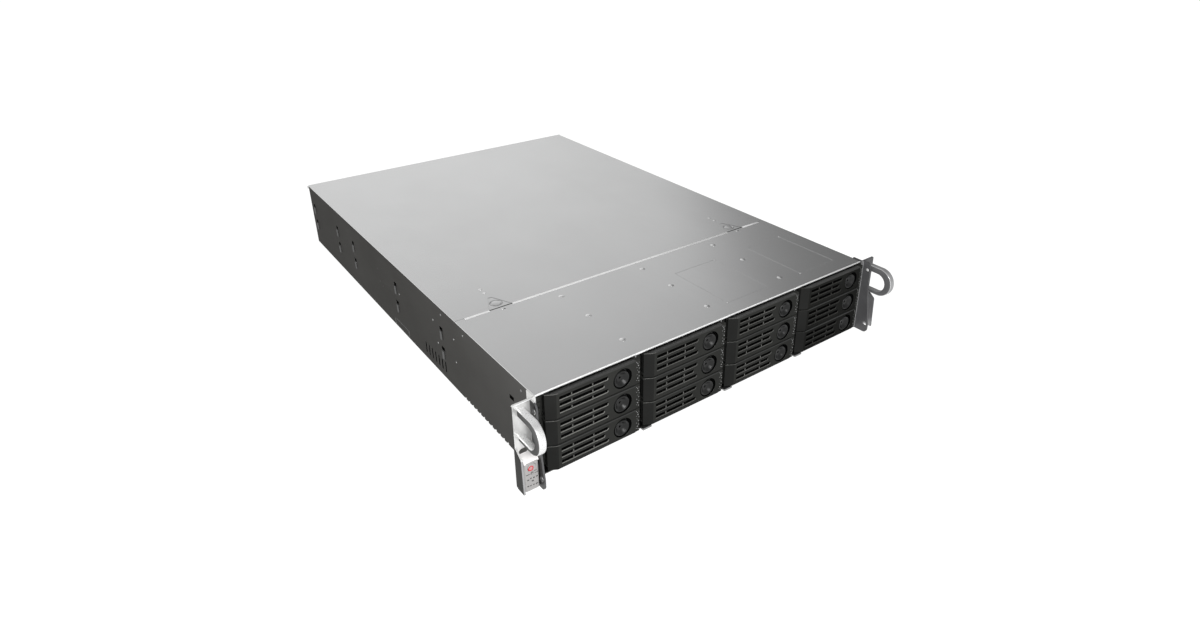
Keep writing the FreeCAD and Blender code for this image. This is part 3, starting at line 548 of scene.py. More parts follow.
# Castings and bright pieces as (key, slot, name, dark, light, roughness, shine of the edges, metal)
CASTINGS = (
    ("ear", "ear_steel", "ear_bright_zinc_sheet", (0.72, 0.72, 0.71), (0.8, 0.8, 0.79), 0.34, 1.0, 0.6),
    ("ear_shade", "ear_steel", "ear_shaded_zinc_sheet", (0.1, 0.1, 0.103), (0.12, 0.12, 0.123),
     0.38, 0.4, 0.3),
    ("fin_shade", "ear_steel", "fin_shaded_zinc_sheet", (0.12, 0.12, 0.124), (0.145, 0.145, 0.149),
     0.4, 0.3, 0.2),
    # Painted highlight: near-white edges, hems, beads and studs that stand for light caught on edges
    ("edge", "steel", "bare_bright_edge", even(0.92), even(0.97), 0.3, 1.0, 0.3),
    # A shaded steel: painted shade on the left fin's faces and in the latch pan mouths, and the tone of the
    # hook tabs on the side walls
    ("tab_steel", "steel", "hook_tab_steel", even(0.14), even(0.19), 0.35, 0.5),
    ("dull", "fastener_steel", "dull_rivet_steel", even(0.26), even(0.34), 0.35, 0.5),
    ("handle", "handle_metal", "handle_polished_casting", even(0.8), even(0.84), 0.3, 1.0, 0.6),
    ("handle_dark", "handle_metal", "handle_shaded_casting", (0.36, 0.36, 0.365), (0.42, 0.42, 0.425),
     0.34, 1.0, 0.5),
    ("handle_shaded_side", "handle_metal", "handle_shaded_side", (0.18, 0.18, 0.185),
     (0.22, 0.22, 0.225), 0.38, 0.4, 0.2),
    # Painted shade: the side faces of the left handle
    ("handle_side", "handle_metal", "handle_satin_side", even(0.13), even(0.18), 0.34, 0.4),
    # Also laid on stamped dimples of the covers as a painted highlight
    ("fastener", "fastener_steel", "fastener_bright_steel", even(0.8), even(0.88), 0.25),
    ("drive", "module_metal", "drive_grey_casting", (0.34, 0.345, 0.35), (0.42, 0.425, 0.43), 0.4),
    ("pin", "fastener_steel", "contact_pin_metal", (0.55, 0.45, 0.2), (0.66, 0.55, 0.28), 0.3),
)

# Plastics as (key, slot, name, dark, light, roughness, height of the grain, shine)
PLASTICS = (
    ("bezel", "bezel_black", "bezel_black_plastic", (0.03, 0.0305, 0.0287), (0.037, 0.0375, 0.0352),
     0.45, 8e-6, 0.0),
    # Painted shade: the levers of the far right column, darker than the others
    ("bezel_far", "bezel_black", "far_bezel_plastic", (0.0155, 0.0158, 0.0148), (0.019, 0.0193, 0.018),
     0.45, 8e-6, 0.0),
    # Painted shade: the left bevels of the levers
    ("bevel", "bezel_black", "lever_bevel_plastic", (0.02, 0.0203, 0.0195), (0.026, 0.0263, 0.0253),
     0.45, 6e-6, 0.0),
    # Painted shade: black laid in slots, wells and holes and behind openings
    ("gap", "bezel_black", "shadowed_black_plastic", even(0.002), even(0.004), 0.6, 4e-6, 0.0),
    ("crest", "bezel_black", "lever_crest_plastic", (0.02, 0.0205, 0.02), (0.028, 0.0285, 0.027),
     0.3, 6e-6, 0.5),
    ("worn_lip", "bezel_black", "worn_lip_plastic", (0.15, 0.15, 0.14), (0.19, 0.19, 0.178),
     # Painted highlight: the brighter slot lips of the first column
     0.3, 4e-6, 0.3),
    ("far_lip", "bezel_black", "far_lip_plastic", (0.03, 0.03, 0.028), (0.042, 0.042, 0.039),
     # A dimmer painted highlight on the slot lips and ribs of the far right column
     0.45, 4e-6, 0.06),
    ("lip", "bezel_black", "slot_lip_plastic", (0.075, 0.075, 0.07), (0.1, 0.1, 0.094), 0.3, 4e-6, 0.3),
    # Painted highlight: slot lips, ribs and bevel edges, lighter than the lever
    ("button", "bezel_black", "button_black_plastic", (0.01, 0.0102, 0.01), (0.0135, 0.0137, 0.0135),
     0.3, 4e-6, 0.24),
    ("screen", "bezel_black", "screen_black_wire", even(0.03), (0.045, 0.045, 0.044), 0.4, 4e-6),
    ("cap", "panel_grey", "panel_cap_white", (0.86, 0.84, 0.835), (0.93, 0.91, 0.905), 0.36, 3e-6, 0.3),
    ("panel", "panel_grey", "panel_silver_grey", (0.4, 0.39, 0.385), (0.46, 0.45, 0.445),
     0.34, 3e-6, 0.2),
    ("fan", "fan_black", "fan_black_plastic", even(0.01), even(0.015), 0.5, 1e-5),
    ("tab", "latch_plastic", "tab_dark_red_plastic", (0.2, 0.02, 0.016), (0.26, 0.03, 0.022), 0.4, 6e-6),
)

# Inks, light pipe and circuit boards as (key, slot, name, dark, light)
INKS = (
    ("pink_ink", "panel_grey", "pink_centre_ink", (0.55, 0.3, 0.29), (0.62, 0.36, 0.35)),
    ("red_ink", "latch_plastic", "red_ring_ink", (0.56, 0.014, 0.03), (0.66, 0.024, 0.045)),
    ("grey_ink", "bezel_black", "grey_mark_ink", even(0.035), even(0.06)),
)
PIPES = (("pipe", "panel_grey", "light_pipe_plastic", even(0.2), even(0.34)),)
BOARDS = (("board", "circuit_board", "circuit_board_mask", (0.012, 0.075, 0.03), (0.02, 0.12, 0.05)),)

FINISHES = {}
for maker, rows in ((rolled_steel, STEELS), (cast_metal, CASTINGS), (moulded_plastic, PLASTICS),
                    (printed_ink, INKS), (clear_pipe, PIPES), (circuit_green, BOARDS)):
    for key, slot, *values in rows:
        FINISHES[key] = maker(*values)


def add_piece(name, mesh, finish, body):
    """A finished mesh as a piece that moves with a body."""
    piece = new_object(name, mesh)
    if not mesh.materials:
        mesh.materials.append(FINISHES[finish])
    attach(piece, body)
    return piece


def evaluated_mesh(holder):
    """The mesh of an object with its modifiers applied; the holder is removed."""
    bpy.context.view_layer.update()
    graph = bpy.context.evaluated_depsgraph_get()
    mesh = bpy.data.meshes.new_from_object(holder.evaluated_get(graph))
    bpy.data.objects.remove(holder)
    return mesh


def smooth(mesh, angle=EDGE_ANGLE):
    mesh.polygons.foreach_set("use_smooth", [True] * len(mesh.polygons))
    mesh.set_sharp_from_angle(angle=math.radians(angle))


def softened(node, width, finish, body="chassis", segments=2, reshape=None):
    """A copy of a CAD node with its facets merged and its edges rounded, which stands for that node."""
    mesh = nodes[node].data.copy()
    mesh.materials.clear()
    work = bmesh.new()
    work.from_mesh(mesh)
    bmesh.ops.remove_doubles(work, verts=work.verts, dist=WELD)
    bmesh.ops.dissolve_limit(work, angle_limit=math.radians(FLAT_ANGLE), verts=work.verts, edges=work.edges)
    if reshape:
        for vertex in work.verts:
            reshape(vertex.co)
    work.to_mesh(mesh)
    work.free()
    mesh.polygons.foreach_set("use_smooth", [True] * len(mesh.polygons))
    holder = new_object(node + "_holder", mesh)
    bevel = holder.modifiers.new("rounded_edges", "BEVEL")
    bevel.width = width * MM
    bevel.segments = segments
    bevel.limit_method = "ANGLE"
    bevel.angle_limit = math.radians(EDGE_ANGLE)
    bevel.use_clamp_overlap = True
    weighted = holder.modifiers.new("flat_faces", "WEIGHTED_NORMAL")
    weighted.keep_sharp = True
    piece = add_piece(node + "_finish", evaluated_mesh(holder), finish, body)
    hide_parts(node)
    return piece


def paint_part(piece, finish, test):
    """Gives another finish to the faces whose middle in millimetres and normal pass a test."""
    piece.data.materials.append(FINISHES[finish])
    index = len(piece.data.materials) - 1
    for face in piece.data.polygons:
        x, y, z = [value / MM for value in face.center]
        if test(x, y, z, face.normal):
            face.material_index = index


def closed_mesh(name, work, bevel=None):
    """The mesh of a closed shape, with its faces turned outward and its edges rounded if a bevel is given."""
    bmesh.ops.recalc_face_normals(work, faces=work.faces)
    if bevel:
        bmesh.ops.bevel(work, geom=list(work.edges), offset=bevel * MM, segments=2, profile=0.5,
                        affect="EDGES", clamp_overlap=True)
    mesh = bpy.data.meshes.new(name)
    work.to_mesh(mesh)
    work.free()
    smooth(mesh)
    return mesh


def turned(profile, axis, centre=ORIGIN, steps=48, ring_shaped=False):
    """A turned mesh: profile holds (radius, distance along the axis) in millimetres, from tip to base."""
    along = Vector(axis).normalized()
    across = along.orthogonal().normalized()
    third = along.cross(across)
    work = bmesh.new()
    rings = []
    for radius, distance in profile:
        base = centre + along * (distance * MM)
        if radius == 0:
            rings.append([work.verts.new(base)])
            continue
        ring = []
        for step in range(steps):
            angle = 2 * math.pi * step / steps
            spoke = across * math.cos(angle) + third * math.sin(angle)
            ring.append(work.verts.new(base + spoke * (radius * MM)))
        rings.append(ring)
    if ring_shaped:
        rings.append(rings[0])
    for first, second in zip(rings, rings[1:]):
        for step in range(steps):
            around = [first[step % len(first)], first[(step + 1) % len(first)],
                      second[(step + 1) % len(second)], second[step % len(second)]]
            unique = list(dict.fromkeys(around))
            if len(unique) > 2:
                work.faces.new(unique)
    return closed_mesh("turned", work)


def skin(work, rings):
    """Faces between rings of equal length, and over the two ends."""
    for first, second in zip(rings, rings[1:]):
        for index in range(len(first)):
            after = (index + 1) % len(first)
            work.faces.new((first[index], first[after], second[after], second[index]))
    for end in (rings[0], rings[-1]):
        work.faces.new(end)


def blocks(name, boxes, finish, body, bevel=0.15):
    """Edge-rounded blocks as one piece, each given by its low and high corner in millimetres."""
    work = bmesh.new()
    for low, high in boxes:
        points = [work.verts.new(mm(x, y, z)) for x in (low[0], high[0]) for y in (low[1], high[1])
                  for z in (low[2], high[2])]
        for face in ((0, 1, 3, 2), (4, 6, 7, 5), (0, 4, 5, 1), (2, 3, 7, 6), (0, 2, 6, 4), (1, 5, 7, 3)):
            work.faces.new([points[index] for index in face])
    return add_piece(name, closed_mesh("blocks", work, bevel), finish, body)


def moved(block, x=0.0, y=0.0, z=0.0):
    return [(corner[0] + x, corner[1] + y, corner[2] + z) for corner in block]


def plaque(x, z, half_width, half_height, front, back):
    """A block round a middle across and up, between two depths."""
    return ((x - half_width, front, z - half_height), (x + half_width, back, z + half_height))


def arc(first, steps):
    """Cosines and sines over a quarter turn from an angle in degrees, both ends included."""
    angles = [math.radians(first + 90.0 * step / steps) for step in range(steps + 1)]
    return [(math.cos(angle), math.sin(angle)) for angle in angles]


class Grower(Tree):
    """A geometry-node tree in the making, with named inputs for its sizes."""

    def __init__(self, name, **kinds):
        super().__init__(bpy.data.node_groups.new(name, "GeometryNodeTree"))
        self.inlet = self.add("NodeGroupInput")
        self.sockets = {}
        for key, kind in {"Geometry": "Geometry", "Finish": "Material", **kinds}.items():
            self.sockets[key] = self.tree.interface.new_socket(key, in_out="INPUT",
                                                               socket_type="NodeSocket" + kind)

    def given(self, name):
        return self.inlet.outputs[name]

    def swept(self, curve, sides, radius, capped=False):
        """A curve swept with a round profile of so many sides."""
        profile = self.made("GeometryNodeCurvePrimitiveCircle",
                            {"Resolution": sides, "Radius": self.given(radius)})
        return self.made("GeometryNodeCurveToMesh",
                         {"Curve": curve, "Profile Curve": profile, "Fill Caps": capped})

    def closed(self, geometry):
        """The tree with its end: instances made real, the finish set."""
        self.tree.interface.new_socket("Geometry", in_out="OUTPUT", socket_type="NodeSocketGeometry")
        real = self.made("GeometryNodeRealizeInstances", {"Geometry": geometry})
        painted = self.made("GeometryNodeSetMaterial", {"Geometry": real, "Material": self.given("Finish")})
        self.add("NodeGroupOutput", {"Geometry": painted})
        return self

    def grow(self, name, mesh, finish, **values):
        """The tree's mesh for these inputs."""
        holder = new_object(name, mesh)
        modifier = holder.modifiers.new(name, "NODES")
        modifier.node_group = self.tree
        modifier[self.sockets["Finish"].identifier] = FINISHES[finish]
        for key, value in values.items():
            modifier[self.sockets[key].identifier] = value
        return evaluated_mesh(holder)


def repeat_tree():
    """Sets one head, such as a rivet's, on every given point."""
    grower = Grower("repeat_on_points", Head="Object")
    points = grower.made("GeometryNodeMeshToPoints", {"Mesh": grower.given("Geometry")})
    head = grower.add("GeometryNodeObjectInfo", {"Object": grower.given("Head")}).outputs["Geometry"]
    return grower.closed(grower.made("GeometryNodeInstanceOnPoints", {"Points": points, "Instance": head}))


def bead_tree():
    """A round-cornered rectangle in the X-Y plane, swept as a thin bead."""
    grower = Grower("bead_outline", Width="Float", Length="Float", Corner="Float", Bead="Float",
                    Place="Vector", Turn="Vector")
    outline = grower.made("GeometryNodeCurvePrimitiveQuadrilateral",
                          {"Width": grower.given("Width"), "Height": grower.given("Length")})
    rounded = grower.made("GeometryNodeFilletCurve",
                          {"Curve": outline, "Radius": grower.given("Corner"), "Count": 4}, mode="POLY")
    return grower.closed(grower.made("GeometryNodeTransform", {
        "Geometry": grower.swept(rounded, 6, "Bead"), "Translation": grower.given("Place"),
        "Rotation": grower.given("Turn")}))


def path_tree():
    """A round bead swept along the edges of a given mesh."""
    grower = Grower("bead_on_path", Bead="Float")
    lines = grower.made("GeometryNodeMeshToCurve", {"Mesh": grower.given("Geometry")})
    return grower.closed(grower.swept(lines, 8, "Bead", True))


def screen_tree():
    """A wire screen: a grid turned by 45 degrees, cut to a window, swept as thin wires and stood upright."""
    grower = Grower("wire_screen", Width="Float", Height="Float", Wire="Float", Lines="Int", Place="Vector")
    width = grower.given("Width")
    count = grower.given("Lines")
    grid = grower.made("GeometryNodeMeshGrid", {"Size X": width, "Size Y": width, "Vertices X": count,
                                                "Vertices Y": count})
    slanted = grower.made("GeometryNodeTransform", {"Geometry": grid, "Rotation": (0.0, 0.0, QUARTER / 2)})
    place = grower.add("ShaderNodeSeparateXYZ", {"Vector": grower.made("GeometryNodeInputPosition")}).outputs
    outside = []
    for axis, size in (("X", "Width"), ("Y", "Height")):
        half = grower.math("MULTIPLY", grower.given(size), 0.5)
        outside.append(grower.math("GREATER_THAN", grower.math("ABSOLUTE", place[axis]), half))
    cut = grower.made("GeometryNodeDeleteGeometry",
                      {"Geometry": slanted, "Selection": grower.math("MAXIMUM", *outside)}, domain="POINT")
    wires = grower.swept(grower.made("GeometryNodeMeshToCurve", {"Mesh": cut}), 4, "Wire")
    return grower.closed(grower.made("GeometryNodeTransform", {
        "Geometry": wires, "Translation": grower.given("Place"), "Rotation": (QUARTER, 0.0, 0.0)}))


REPEAT = repeat_tree()
BEAD = bead_tree()
PATH = path_tree()
SCREEN = screen_tree()


def repeated(name, head, places, finish, body):
    """Copies of a head mesh, made round the origin, on each place in millimetres."""
    points = bpy.data.meshes.new(name + "_points")
    points.from_pydata([mm(*place) for place in places], [], [])
    template = new_object(name + "_head", head)
    mesh = REPEAT.grow(name, points, finish, Head=template)
    bpy.data.objects.remove(template)
    return add_piece(name, mesh, finish, body)


def beaded(name, sizes, place, finish, body, turn=(0.0, 0.0, 0.0)):
    """A beaded outline; sizes are its width, length, corner and bead in millimetres."""
    width, length, corner, bead = sizes
    mesh = BEAD.grow(name, bpy.data.meshes.new(name), finish, Width=width * MM, Length=length * MM,
                     Corner=corner * MM, Bead=bead * MM, Place=mm(*place), Turn=turn)
    return add_piece(name, mesh, finish, body)


def traced(name, paths, bead, finish, body):
    """Round beads along paths of points in millimetres."""
    points = []
    edges = []
    for path in paths:
        first = len(points)
        points += [mm(*place) for place in path]
        edges += [(index, index + 1) for index in range(first, len(points) - 1)]
    lines = bpy.data.meshes.new(name + "_lines")
    lines.from_pydata(points, edges, [])
    mesh = PATH.grow(name, lines, finish, Bead=bead * MM)
    smooth(mesh, BEAD_ANGLE)
    return add_piece(name, mesh, finish, body)


def dome(size, axis):
    """A low domed head of (radius, height) along an axis, with its base sunk a little."""
    radius, height = size
    profile = [(0.0, height)] + [(radius * out, height * up) for up, out in arc(0.0, DOME_STEPS)[1:]]
    return turned(profile + [(radius, -SINK), (0.0, -SINK)], axis, steps=DOME_SIDES)


def bays():
    """The name, left side and middle height of each drive bay."""
    for row in range(1, ROWS + 1):
        for column in range(1, COLUMNS + 1):
            name = "r%d_c%d" % (row, column)
            left, _, floor = corners("tray_" + name)[0]
            yield name, left - TRAY_SIDE_GAP, floor - TRAY_LIFT + ROW_PITCH / 2


def paint_lever(mesh, left, middle):
    """Painted shade: black insides of the slots and of the button's well, and a darker left bevel; and a
    glossier upper edge.
    """
    gap, crest, bevel = 1, 2, 3
    for finish in ("gap", "crest", "bevel"):
        mesh.materials.append(FINISHES[finish])
    for face in mesh.polygons:
        x, y, z = face.center / MM
        from_button = math.hypot(x - left - BUTTON_PLACE, z - middle)
        in_slots = left + SLOT_START - SLOT_MARGIN < x < left + SLOT_END + SLOT_MARGIN
        # Painted shade: black in the button's well and in the slots, and a darker left bevel
        if from_button < WELL_RADIUS and y > LEVER_FRONT + WELL_DEPTH:
            face.material_index = gap
        elif face.normal.x < -BEVEL_LEAN and x < left + CHAMFER_END + CHAMFER_MARGIN:
            face.material_index = bevel
        elif in_slots and y > LEVER_FRONT + SLOT_DEPTH and abs(z - middle - SLOT_LIFT) < SLOT_REACH:
            face.material_index = gap
        elif face.normal.z > LEANING:
            face.material_index = crest


def slot_lip(start, end, foot):
    """The path of a lip under one row of slots, painted light as a highlight, turned up at its right end."""
    y = LEVER_FRONT + LIP_INSET
    path = [(start, y, foot), (end - LIP_TURN, y, foot)]
    for up, out in arc(0.0, LIP_STEPS)[1:]:
        path.append((end - LIP_TURN + LIP_TURN * out, y, foot + LIP_TURN - LIP_TURN * up))
    return path + [(end, y, foot + LIP_END)]


def dress_grille(name, left, middle, lip_finish, rib_finish):
    """The lips and ribs of a lever's slots and the edge of its bevel, painted lighter than the lever as
    highlights, and the screen behind it.
    """
    body = "lever_" + name
    lips = []
    ribs = []
    for line in SLOT_LINES:
        foot = middle + SLOT_LIFT + line * SLOT_PITCH - SLOT_HEIGHT / 2
        start = left + SLOT_START
        lips.append(slot_lip(start, left + SLOT_END - (SHORT_SLOT if line == 0 else 0.0), foot + LIP_RISE))
        for run in SLOT_RUNS:
            ribs.append(moved(RIB, start + run, 0.0, foot))
            start += run + SLOT_RIB
    # Lips, ribs and the bevel's edge are painted lighter than the lever as highlights
    traced("slot_lips_" + name, lips, LIP_RADIUS, lip_finish, body)
    top = corners(body)[1][2] - CHAMFER_DROP
    edge = [(left + x, y, top) for x, y in CHAMFER_PATH]
    traced("chamfer_edge_" + name, [edge], CHAMFER_BEAD, rib_finish, body)
    blocks("slot_ribs_" + name, ribs, rib_finish, body, RIB_ROUND)
    width = SLOT_END - SLOT_START + SCREEN_MARGIN
    place = mm(left + (SLOT_START + SLOT_END) / 2, LEVER_BACK + SCREEN_GAP, middle + SLOT_LIFT)
    mesh = SCREEN.grow("screen_" + name, bpy.data.meshes.new("screen_" + name), "screen", Width=width * MM,
                       Height=SCREEN_HEIGHT * MM, Wire=SCREEN_WIRE * MM, Lines=SCREEN_LINES, Place=place)
    add_piece("screen_" + name, mesh, "screen", body)


def dress_levers():
    """Levers in the finish of their column, the levers of the far right column painted darker as shade, each
    with its grille.
    """
    for name, left, middle in bays():
        body = "lever_" + name
        finish, lip_finish, rib_finish = COLUMN_FINISHES[int(name[-1]) - 1]
        lever = softened(body, LEVER_ROUND, finish, body, FINE_SEGMENTS)
        paint_lever(lever.data, left, middle)
        dress_grille(name, left, middle, lip_finish, rib_finish)


def dress_buttons():
    """Dished release buttons, each with a pin hole whose bottom is painted black as shade."""
    for name, left, middle in bays():
        body = "button_" + name
        across = left + BUTTON_PLACE + BUTTON_SHIFT[0]
        face = LEVER_FRONT + BUTTON_RECESS
        height = middle + BUTTON_SHIFT[1]
        mesh = turned(BUTTON_PROFILE, BACKWARD, mm(across, face, height), BUTTON_SIDES)
        piece = add_piece("dished_" + name, mesh, "button", body)
        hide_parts(body)
        # The bottom of the pin hole is painted black as shade
        paint_part(piece, "gap", lambda x, y, z, look: y > face + BUTTON_HOLE_DEPTH
                   and math.hypot(x - across, z - height) < BUTTON_HOLE_RADIUS)


def dress_drive(name, left, middle):
    """The relief, screws and round boss on a drive's lid."""
    body = "tray_" + name
    x = left + DRIVE_MIDDLE[0]
    y = DRIVE_MIDDLE[1]
    top = middle + DRIVE_RISE
    screws = [(x + across, y + along, top) for across, along in LID_SCREWS]
    beaded("lid_relief_" + name, LID_RELIEF, (x, y, top), "drive", body)
    repeated("lid_screws_" + name, dome(LID_SCREW, UP), screws, "fastener", body)
    repeated("lid_boss_" + name, turned(LID_BOSS, UP), [(x, y + LID_BOSS_SHIFT, top)], "drive", body)


def dress_trays():
    """Trays with their drives, specks in the posts, latch teeth, and feet under the lever columns."""
    feet = []
    for name, left, middle in bays():
        body = "tray_" + name
        tray = softened(body, TRAY_ROUND, "bezel", body)
        paint_part(tray, "drive", lambda x, y, z, look: y > DRIVE_FRONT
                   and left + DRIVE_LEFT < x < left + DRIVE_RIGHT)
        specks = [plaque(left + x, middle + rise, half, SPECK_TALL * half, POST_FRONT - SPECK_PROUD,
                         POST_FRONT + SPECK_BITE) for x, rise, half in POST_SPECKS]
        blocks("light_specks_" + name, specks, "pipe", body, SPECK_ROUND)
        teeth = [moved(TOOTH, left, 0.0, middle + rise) for rise in TOOTH_RISES]
        blocks("latch_teeth_" + name, teeth, "bezel", body)
        dress_drive(name, left, middle)
        if name in FOOT_BAYS:
            feet.append(moved(FOOT, left))
    blocks("floor_feet", feet, "dull", "chassis", FOOT_ROUND)


def shallow_pan(place):
    """Lifts the floor of a latch pan, so that the pan is a shallow stamping."""
    near = abs(abs(place.x) / MM - LATCH_X) < PAN_HALF and abs(place.y / MM - LATCH_Y) < PAN_REACH
    if near and abs(place.z / MM - PAN_FLOOR) < PAN_FLOOR_NEAR:
        place.z = (TOP - PAN_DEPTH) * MM


def dress_covers():
    """Both top covers, with their front edge and a hem in front painted near-white as a highlight, and a lip
    behind.
    """
    cover = softened("front_top_cover", COVER_ROUND, "cover", segments=FINE_SEGMENTS)
    # The front edge of the cover is painted near-white as a highlight
    paint_part(cover, "edge", lambda x, y, z, look: y < FRONT_EDGE + EDGE_DEPTH and look.z > -LEANING)
    softened("rear_top_cover", COVER_ROUND, "cover", "rear_top_cover", FINE_SEGMENTS, shallow_pan)
    # The hem is painted near-white as a highlight
    blocks("front_hem", [FRONT_HEM], "edge", "chassis", FRONT_HEM_ROUND)
    dress_rivets()
    rear = corners("rear_top_cover")[1][1]
    blocks("rear_lip", [moved(REAR_LIP, y=rear)], "cover", "rear_top_cover", REAR_LIP_ROUND)
    dress_cover_heads()
    dress_seam()
    dress_latches()
    dress_outlines()


def dress_rivets():
    """Nine rivets through the front cover, in three rows."""
    (left, front, _), (right, back, _) = corners("cage_rivets")
    columns = (left + RIVET_RADIUS, (left + right) / 2, right - RIVET_RADIUS)
    lines = (front + RIVET_RADIUS, FRONT_EDGE + RIVET_MIDDLE, back - RIVET_RADIUS)
    places = [(x, y, TOP) for x in columns for y in lines]
    rivets = repeated("cover_rivets", turned(RIVET_PROFILE, UP, steps=HEAD_SIDES), places, "fastener",
                      "chassis")
    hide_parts("cage_rivets")


def dress_cover_heads():
    """Dimples painted bright as highlights, screws, and pilot holes painted dark as shade, in the covers."""
    dimples = [(side * LATCH_X, FRONT_EDGE + row, TOP) for _, side in SIDES for row in DIMPLE_ROWS]
    # The dimples are painted in the bright fastener steel as highlights
    repeated("cover_dimples", dome(COVER_DIMPLE, UP), dimples, "fastener", "rear_top_cover")
    screws = [(side * LATCH_X + SCREW_SHIFT, FRONT_EDGE + SCREW_ROW, TOP) for _, side in SIDES]
    repeated("cover_screws", dome(COVER_SCREW, UP), screws, "fastener", "chassis")
    holes = [(x + PILOT_SHIFT[0], y + PILOT_SHIFT[1], z) for x, y, z in screws]
    # Pilot holes as dark dots in black plastic: painted shade
    repeated("cover_pilot_holes", dome(PILOT_HOLE, UP), holes, "fan", "chassis")


def seam_bars(runs, shape):
    """Bars along the seam between the covers; a shape is front and back from the seam, and a top height."""
    seam = corners("rear_top_cover")[0][1]
    front, back, top = shape
    return [((first, seam + front, TOP - SEAM_SINK), (last, seam + back, top)) for first, last in runs]


def dress_seam():
    """A hem along the seam painted near-white as a highlight, and a mouth in front of each latch pan painted
    dark as shade.
    """
    hems = ((-SEAM_END, -LATCH_X - PAN_HALF), (-LATCH_X + PAN_HALF, LATCH_X - PAN_HALF),
            (LATCH_X + PAN_HALF, SEAM_END))
    mouths = [(side * LATCH_X - PAN_HALF, side * LATCH_X + PAN_HALF) for _, side in SIDES]
    # The seam hem is painted near-white as a highlight
    blocks("seam_hem", seam_bars(hems, SEAM_HEM), "edge", "chassis", SEAM_HEM_ROUND)
    # The pan mouths are painted dark as shade
    blocks("pan_mouths", seam_bars(mouths, PAN_MOUTH), "tab_steel", "chassis", PAN_MOUTH_ROUND)


def dress_latches():
    """Round cover latches: a flat finger plate, a groove and a thin outer ring."""
    for name, side in SIDES:
        body = "cover_latch_" + name
        centre = mm(side * LATCH_X, LATCH_Y, corners(body)[1][2] + LATCH_LIFT)
        piece = add_piece("round_latch_" + name, turned(LATCH_PROFILE, (0, 0, -1), centre), "cover", body)
        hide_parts(body)


def dress_outlines():
    """Stamped outlines in the front cover, with a dimple painted bright as a highlight at two corners of
    each.
    """
    dimples = []
    for name, x, width, length in OUTLINES:
        place = (x, OUTLINE_REAR - length / 2, TOP)
        beaded("stamped_outline_" + name, (width, length, *OUTLINE_EDGE), place, "cover", "chassis")
        dimples += [(x + width / 2, OUTLINE_REAR, TOP), (x - width / 2, OUTLINE_REAR - length, TOP)]
    # The corner dimples are painted in the bright fastener steel as highlights
    repeated("outline_corners", dome(OUTLINE_CORNER, UP), dimples, "fastener", "chassis")


def dress_sides():
    """The pan in a darker steel that is partly painted shade, with black sheets of painted shade behind its
    openings and heads on both side walls.
    """
    # The pan in its darker steel, partly painted shade
    pan = softened("chassis_pan", SHEET_ROUND, "pan")
    # Hook tabs proud of the side walls, in the shaded steel
    paint_part(pan, "tab_steel", lambda x, y, z, look: abs(x) > SIDE + TAB_PROUD)
    for name, side in SIDES:
        near, far = sorted(side * face for face in SHADE_SHEET_FACES)
        shade_sheet = ((near, SHADE_SHEET_DEPTHS[0], SHADE_SHEET_HEIGHTS[0]), (far, SHADE_SHEET_DEPTHS[1], SHADE_SHEET_HEIGHTS[1]))
        # A black sheet of painted shade behind the openings of each side wall
        blocks("vent_liner_" + name, [shade_sheet], "gap", "chassis", SHADE_SHEET_ROUND)
        for kind, size, places, finish in (("side_rivets_", SIDE_RIVET, SIDE_RIVETS, "dull"),
                                           ("side_dimples_", SIDE_DIMPLE, SIDE_DIMPLES, "pan")):
            heads = [(side * SIDE, y, z) for y, z in places]
            repeated(kind + name, dome(size, (side, 0, 0)), heads, finish, "chassis")
    beaded("side_plate_outline", SIDE_PLATE, SIDE_PLATE_PLACE, "dull", "chassis", (0.0, QUARTER, 0.0))


def ridge_mesh(outline, first, last):
    """A bar along the width with a depth-height outline in millimetres."""
    work = bmesh.new()
    skin(work, [[work.verts.new(mm(x, y, z)) for y, z in outline] for x in (first, last)])
    return closed_mesh("ridge", work)


def loop_path(front, bottom, top, bend):
    """Half of a stadium in the depth-height plane, from the upper foot round the front to the lower foot."""
    path = [(HANDLE_FOOT, top)]
    for centre, first in ((top - bend, 90.0), (bottom + bend, 180.0)):
        path += [(front + bend + bend * out, centre + bend * up) for out, up in arc(first, HANDLE_STEPS)]
    return path + [(HANDLE_FOOT, bottom)]


def rounded_section(width, height, radius):
    """Points round a rectangle with rounded corners, as distances along its width and up its height."""
    points = []
    for x, y, first in ((width - radius, height - radius, 0.0), (radius, height - radius, 90.0),
                        (radius, radius, 180.0), (width - radius, radius, 270.0)):
        points += [(x + radius * out, y + radius * up) for out, up in arc(first, EDGE_STEPS)]
    return points


def handles_mesh():
    """Both pull handles: a thick rounded strap that runs round a D-shaped hole."""
    (_, front, bottom), (right, _, top) = corners("handles")
    outer = loop_path(front, bottom, top, HANDLE_BEND)
    inner = loop_path(front + HANDLE_FRONT_WALL, bottom + HANDLE_BOTTOM_WALL, top - HANDLE_TOP_WALL,
                      HANDLE_HOLE_BEND)
    work = bmesh.new()
    for _, side in SIDES:
        rings = []
        for (outer_y, outer_z), (inner_y, inner_z) in zip(outer, inner):
            thick = math.hypot(outer_y - inner_y, outer_z - inner_z)
            ring = []
            for across, rise in rounded_section(HANDLE_WIDTH, thick, HANDLE_EDGE):
                share = rise / thick
                ring.append(work.verts.new(mm(side * (right - across), inner_y + (outer_y - inner_y) * share,
                                              inner_z + (outer_z - inner_z) * share)))
            rings.append(ring)
        skin(work, rings)
    return closed_mesh("handles", work)


def on_fin(x, y, z, look):
    return FIN_INNER < abs(x) < FIN_OUTER and abs(look.x) > FACING


